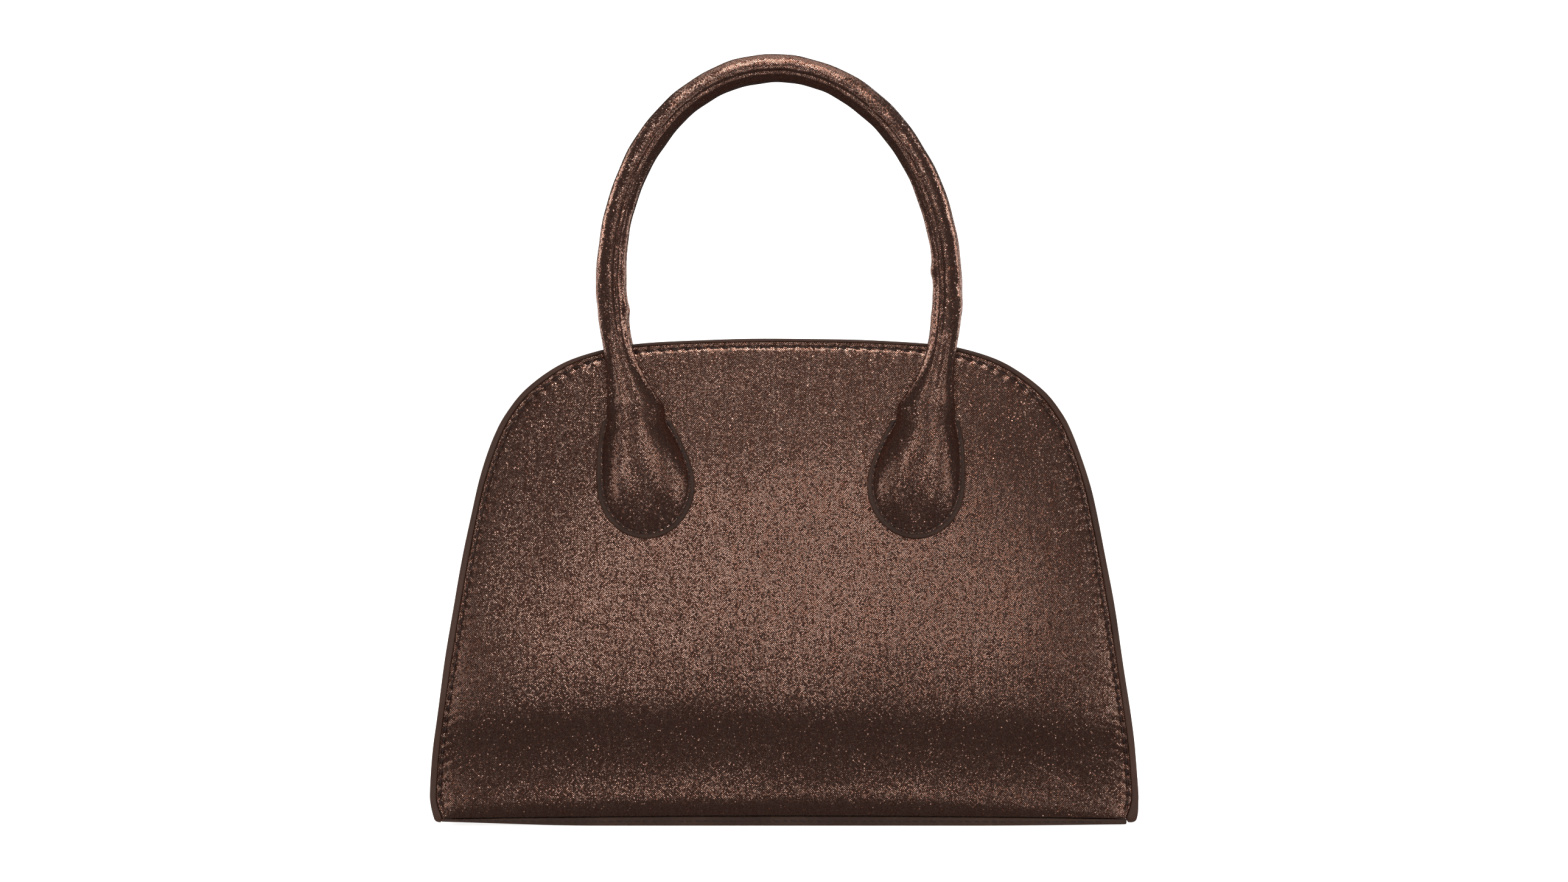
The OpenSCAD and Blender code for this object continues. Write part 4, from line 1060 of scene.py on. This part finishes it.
# Plate through loops: from its top middle out over a rounded edge and back under its bottom
def platePiece(name, halfLength, depthOf, corner, low, high, bow=flatLine, count=150,
               rounding=1.0, power=1.0, rimRise=flatLine):
    x = halfLength * np.sin(np.linspace(-1, 1, count) * math.pi / 2)
    y = plateDepth(x, halfLength, depthOf(x), corner)
    loopX, loopY = np.concatenate([x, x[::-1]]), np.concatenate([-y, y[::-1]])
    inner = (0.02, 0.3, 0.6, 0.85, 0.97)
    walk = [(m, 90) for m in inner] + [(1, a) for a in np.linspace(90, -90, 9)] + [(m, -90) for m in inner[::-1]]
    loops = []
    for share, turn in walk:
        inset = (high - low) / 2 * rounding * (1 - math.cos(math.radians(turn)))
        top = high + rimRise(loopX * share) * (share > inner[-2])
        thick = (top - low - bow(loopX * share)) / 2
        loops.append(together(loopX * share * (1 - inset / halfLength), loopY * share * (1 - inset / y.max()),
                              top - thick + thick * squarish(math.sin(math.radians(turn)), power)))
    return tubePiece(name, np.stack(loops))


def baseDepth(x):
    return skin(x, np.full(x.shape, body["foot"]))


def baseBow(x):
    level = ease(np.abs(x), base["flat"] * base["halfLength"], base["halfLength"] * 1.1)
    return np.where(x < 0, base["bowLeft"], base["bowRight"]) * level


dress(platePiece("baseTrim", base["halfLength"], baseDepth, base["corner"], 0.0, base["thickness"], baseBow, 220,
                 base["round"], base["square"], footRise), smoothTrim, "bag", "smooth_trim", "base_panel")
dress(platePiece("baseLining", baseLining["halfLength"], lambda x: np.full(x.shape, baseLining["halfDepth"]),
                 baseLining["corner"], baseLining["low"], baseLining["high"]), liningCloth, "bag", "lining",
      "lining_base")
for face, sign in faceSign.items():
    x = np.arange(-base["stitchEnd"], base["stitchEnd"] + 0.1, base["stitchPitch"])
    depth = plateDepth(x, base["halfLength"], baseDepth(x), base["corner"]) + 0.02
    centres = together(x, sign * depth, (base["thickness"] + footRise(x) + baseBow(x)) / 2)
    stitchPiece(face + "BaseStitches", centres, [1.0, 0.0, 0.0], [0.0, sign, 0.0], base["stitchPitch"] * 0.78,
                base["thread"])
print("base and facings made")


# Zip top. Each half is in a left and a right piece.

def zipBend(face, half):
    low, high = zipTop["rampLeft"] if half < 0 else zipTop["rampRight"]
    y, z = zipTop["hingeY"] * faceSign[face] * mm, zipTop["hingeZ"] * mm
    return ("bag", face + "_zip_half", (low * mm, y, z), (high * mm, y, z))


# Band: sections along the zip, rounded at the seam, folded over at the slot and sewn beside the fold
def bandLoops(face, half):
    x = half * np.concatenate([[0, 0.03], np.linspace(1, 60, 59), np.linspace(60.6, zipTop["reach"], 22)])
    seamY = (skin(x, np.full(x.shape, zipTop["height"])) - zipTop["seamIn"])[:, None]
    past = np.clip((np.abs(x) - zipTop["slotEnd"]) / zipTop["slotRound"], 0, 1)
    slotY = (np.where(past < 1, zipTop["slot"] * np.sqrt(1 - past ** 2), 0) + 0.15)[:, None]
    s = np.linspace(0, 1, 26)[None]
    y = mix(seamY, slotY, s)
    fromSlot = y - slotY
    level = 1 - ease(np.abs(x), zipTop["levelFrom"], zipTop["levelTo"])[:, None]
    fold = (zipTop["fold"] * np.exp(-(fromSlot / 2.2) ** 4) - 0.3 * bump(fromSlot, 2.3, 0.45)) * level
    sag = -0.35 * np.sin(math.pi * s) ** 2
    rounding = np.sqrt(np.clip(1 - (1 - np.clip(np.minimum(fromSlot, seamY - y) / 0.6, 0, 1)) ** 2, 0, 1))
    middle = zipTop["height"] - zipTop["half"]
    top = together(x[:, None], y, middle + (zipTop["half"] + fold) * rounding + sag)
    low = together(x[:, None], y, middle - zipTop["half"] * rounding + sag * 0.8)
    return np.concatenate([top, low[:, -2:0:-1]], axis=1) * [1, faceSign[face], 1]


# Teeth: rounded blocks, each with a broader head where it meets the other row
def teethPiece(name, face, half):
    x = np.arange(-23, 24) * zipTop["toothPitch"] + (0.0 if face == "front" else zipTop["toothPitch"] / 2)
    x = x[(np.abs(x) < zipTop["teethEnd"]) & ((x >= 0) if half > 0 else (x < 0))]
    w, d, h = (v / 2 for v in zipTop["toothSize"])
    turn = fullTurn(8)
    rise = np.radians(np.array([-90, -72, -15, 15, 72, 90]))[:, None]
    px, pz = (v * squarish(wave, 0.5)[None] * squarish(np.cos(rise), 0.22)
              for v, wave in ((w, np.cos(turn)), (h, np.sin(turn))))
    py = d * squarish(np.sin(rise), 0.8) + 0 * px
    head = mix(0.82, 1.0, ease(py, 0.0, d * 0.5))
    block = together(px * head, py - zipTop["toothRoot"] + d, pz * head).reshape(-1, 3)
    points = (block[None] + together(x, 0, zipTop["tapeZ"])[:, None]).reshape(-1, 3) * [1, -faceSign[face], 1]
    faces = (gridQuads(6, 8, True)[None] + (np.arange(len(x)) * len(block))[:, None, None]).reshape(-1, 4)
    return makePiece(name, points, [faces], smooth=False, merge=True)


for face, sign in faceSign.items():
    for name, half in sideSign.items():
        name = face + name.title()
        where = zipBend(face, half)
        dress(tubePiece(name + "ZipBand", bandLoops(face, half)), smoothTrim, where, "smooth_trim",
              face + "_zip_band", "zip_end_panels")
        x = half * np.concatenate([[0, 0.03], np.linspace(1, zipTop["endSlot"] - 0.1, 68)])[:, None]
        y = np.linspace(zipTop["toothRoot"] + 0.02, zipTop["slot"] + 3.9, 12)[None] * sign
        grid = together(x, y, zipTop["tapeZ"] + 0.03 * np.sin(x / 1.5))
        tape = slabPiece(name + "ZipTape", grid + [0, 0, zipTop["tapeHalf"]], grid - [0, 0, zipTop["tapeHalf"]])
        dress(tape, zipTape, where, "zip_tape", face + "_zip_tape", "zip_end_tapes")
        dress(teethPiece(name + "ZipTeeth", face, half), agedBrass, where, "zip_metal", face + "_zip_teeth",
              "zip_end_teeth")
        x = half * np.arange(1.5, 61, zipTop["stitchPitch"])
        stitchPiece(name + "ZipStitches", together(x, sign * (zipTop["slot"] + 2.45), zipTop["height"] - 0.12),
                    [1.0, 0, 0], [0, 0, 1.0], zipTop["stitchPitch"] * 0.8, zipTop["thread"], where)
print("zip made")


# Slider: plates that narrow to the tail, lips along their sides, a divider and a bowed bail

slider = {
    "length": 9.0, "width": 9.0, "tail": 7.4, "plateGap": 1.45, "plate": 1.0, "round": 0.42, "lip": 1.0,
    "slotHalf": 0.55, "divider": 0.5, "dividerEnds": (0.1, 3.0), "bailWidth": 2.2, "bailHalf": 1.3,
    "bailTop": 4.65, "bailThick": 0.8,
}
plateMiddle = slider["plateGap"] + slider["plate"] / 2
upward = np.array([0, 0, 1.0])


# Half width along the slider: the tail's share, then wider towards the nose
def sliderHalf(x):
    return mix(slider["tail"], slider["width"], ease(x, -slider["length"] / 2, 0.8)) / 2


# Loops of a squarish outline through the levels of a rounded slab
def sliderPlate(side):
    turn = fullTurn(56)
    rise = np.radians(np.linspace(-90, 90, 11))[:, None]
    inset = slider["round"] * (1 - squarish(np.cos(rise), 0.7))
    x = (slider["length"] / 2 - inset) * squarish(np.cos(turn), 0.42)[None]
    y = (sliderHalf(x) - inset) * squarish(np.sin(turn), 0.42)[None]
    return together(x, y, side * plateMiddle + slider["plate"] / 2 * squarish(np.sin(rise), 0.6))


# Loops of a rounded rectangle, wide by thick, across a path in a plane; side is the plane's normal
def barLoops(path, side, wide, thick, power=0.35):
    lift = np.cross(unit(np.gradient(path, axis=0)), side)
    turn = fullTurn(16)
    taper = np.sqrt(np.clip(1 - np.abs(np.linspace(-1, 1, len(path))) ** 24, 0.1, 1))[:, None, None]
    wide, thick = np.broadcast_to(wide, len(path))[:, None, None] / 2, thick / 2
    return (path[:, None] + taper * (wide * squarish(np.cos(turn), power)[None, :, None] * side
                                     + thick * squarish(np.sin(turn), power)[None, :, None] * lift[:, None]))


run = np.linspace(-0.47, 0.47, 24) * slider["length"]
bow = np.linspace(0, math.pi, 40)
lipMiddle, lipHeight = (slider["slotHalf"] + plateMiddle) / 2, plateMiddle - slider["slotHalf"]
sliderParts = {"sliderTopPlate": sliderPlate(1), "sliderLowPlate": sliderPlate(-1)[:, ::-1]}
for face, side in faceSign.items():
    for height, level in (("Low", -1), ("High", 1)):
        path = together(run, side * (sliderHalf(run) - slider["lip"] / 2), level * lipMiddle)
        sliderParts["slider" + face.title() + height + "Lip"] = barLoops(path, upward, lipHeight, slider["lip"])
path = together(np.linspace(*slider["dividerEnds"], 12), 0.0, 0.0)
sliderParts["sliderDivider"] = barLoops(path, upward, 2 * plateMiddle, slider["divider"])
path = together(-slider["bailHalf"] * squarish(np.cos(bow), 0.5), 0.0,
                plateMiddle + (slider["bailTop"] - plateMiddle) * squarish(np.sin(bow), 0.5))
bailWidth = slider["bailWidth"] * (1 + 0.25 * np.cos(bow) ** 4)
sliderParts["sliderBail"] = barLoops(path, np.array([0, 1.0, 0]), bailWidth, slider["bailThick"])
for name, loops in sliderParts.items():
    part = tubePiece(name, loops + [zipTop["sliderX"], 0, zipTop["tapeZ"]])
    dress(part, agedBrass, "slider", "zip_metal", "zip_slider")
print("slider made")


# Slip pocket inside the back: its mouth gapes a little under a rolled hem

pocket = {
    "halfWidth": 55.0, "low": 58.0, "high": 120.0, "gapeFrom": 84, "gape": 2.6, "hem": 0.5, "outer": 5.4,
    "inner": 5.95,
}
u, z = np.meshgrid(np.linspace(-1, 1, 60), np.linspace(pocket["low"], pocket["high"], 50))
x = u * pocket["halfWidth"]
gape = pocket["gape"] * np.cos(u * math.pi / 2) ** 0.8 * ease(z, pocket["gapeFrom"], pocket["high"])
hem = pocket["hem"] * np.exp(-((pocket["high"] - z - 1.2) / 1.6) ** 4)
dress(slabPiece("slipPocket", onSkin(x, z, -pocket["outer"] - gape, "back"),
                onSkin(x, z, -pocket["inner"] - gape - hem, "back")), liningCloth, "bag", "lining", "slip_pocket")

# CAD nodes that keep their own shape
for node, material in (("base_board", greyCard), ("zip_stops", agedBrass),
                       ("zip_pull_ring", agedBrass), ("zip_pull_tab", smoothTrim)):
    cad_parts[node].data.materials.clear()
    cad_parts[node].data.materials.append(material)
print("small parts made")


# Stage: a pale floor that curves up into a wall all round, and soft lights

stage = {
    "floor": 5.8, "curve": 2.0, "wall": 6.0, "tone": (0.86, 0.855, 0.85, 1.0), "cloudShare": 0.97, "glow": 1.02,
    "sky": (1.0, 0.99, 0.97, 1.0), "world": 0.035, "sides": 96,
}
angle = np.linspace(0, math.pi / 2, 14)
profile = np.concatenate([
    together(np.linspace(0.0, stage["floor"], 16), 0),
    together(stage["floor"] + stage["curve"] * np.sin(angle), stage["curve"] * (1 - np.cos(angle)))[1:],
    [[stage["floor"] + stage["curve"], stage["wall"]]]])
turn = fullTurn(stage["sides"])
ring = together(profile[:, :1] * np.cos(turn), profile[:, :1] * np.sin(turn), profile[:, 1:])
bowl = makePiece("paleFloor", ring.reshape(-1, 3) / mm, [gridQuads(len(profile), stage["sides"], True)],
                 outward=False)
material, tree, shader = nodeTree("paleFloor")
cloud = noise(tree, objectPlace(tree), 3.0, 3.0).outputs[0]
darker = tuple(stage["cloudShare"] * c for c in stage["tone"][:3]) + (1.0,)
feed(tree, shader, {
    "Base Color": blendColor(tree, cloud, stage["tone"], darker), "Roughness": 0.8, "Specular IOR Level": 0.1,
    "Emission Color": stage["tone"], "Emission Strength": stage["glow"]})
bowl.data.materials.append(material)
bowl.visible_glossy = False  # the cloth mirrors the lights, not the floor

world = bpy.data.worlds.new("studio")
bpy.context.scene.world = world
world.use_nodes = True
world.node_tree.nodes["Background"].inputs[0].default_value = stage["sky"]
world.node_tree.nodes["Background"].inputs[1].default_value = stage["world"]

softboxes = {
    "key": {"at": (0.0, -1.24, 0.39), "size": (0.36, 0.24), "power": 0.6},
    "brow": {"at": (0.0, -1.35, 1.55), "size": (0.9, 0.34), "power": 1.5},
    "top": {"at": (0.0, -0.9, 2.2), "size": (1.2, 0.7), "power": 10.0},
    "backKey": {"at": (0.03, 1.24, 0.42), "size": (0.4, 0.28), "power": 0.9},
    "left": {"at": (-1.8, 0.8, 1.1), "size": (0.6, 0.9), "power": 6.0},
    "right": {"at": (1.8, 0.8, 1.1), "size": (0.6, 0.9), "power": 6.0},
    "frontLeft": {"at": (-1.07, -1.19, 0.22), "size": (0.9, 0.4), "power": 1.0},
    "frontRight": {"at": (1.07, -1.19, 0.22), "size": (0.9, 0.4), "power": 1.2},
    "backLeft": {"at": (-1.07, 1.19, 0.22), "size": (0.9, 0.4), "power": 1.5},
    "backRight": {"at": (1.07, 1.19, 0.22), "size": (0.9, 0.4), "power": 1.5},
    "wash": {"at": (0.0, 1.6, 4.6), "size": (5.0, 5.0), "power": 50},
}
lightAim = Vector((0, 0, 0.12))
for name, light in softboxes.items():
    data = bpy.data.lights.new(name, "AREA")
    data.shape = "RECTANGLE"
    data.size, data.size_y = light["size"]
    data.energy = light["power"]
    lamp = bpy.data.objects.new(name, data)
    lamp.location = light["at"]
    lamp.rotation_euler = (lightAim - Vector(light["at"])).to_track_quat("-Z", "Y").to_euler()
    lamp.visible_camera = False
    bpy.context.scene.collection.objects.link(lamp)
bpy.context.scene.view_settings.view_transform = "Standard"
print("stage and lights made")
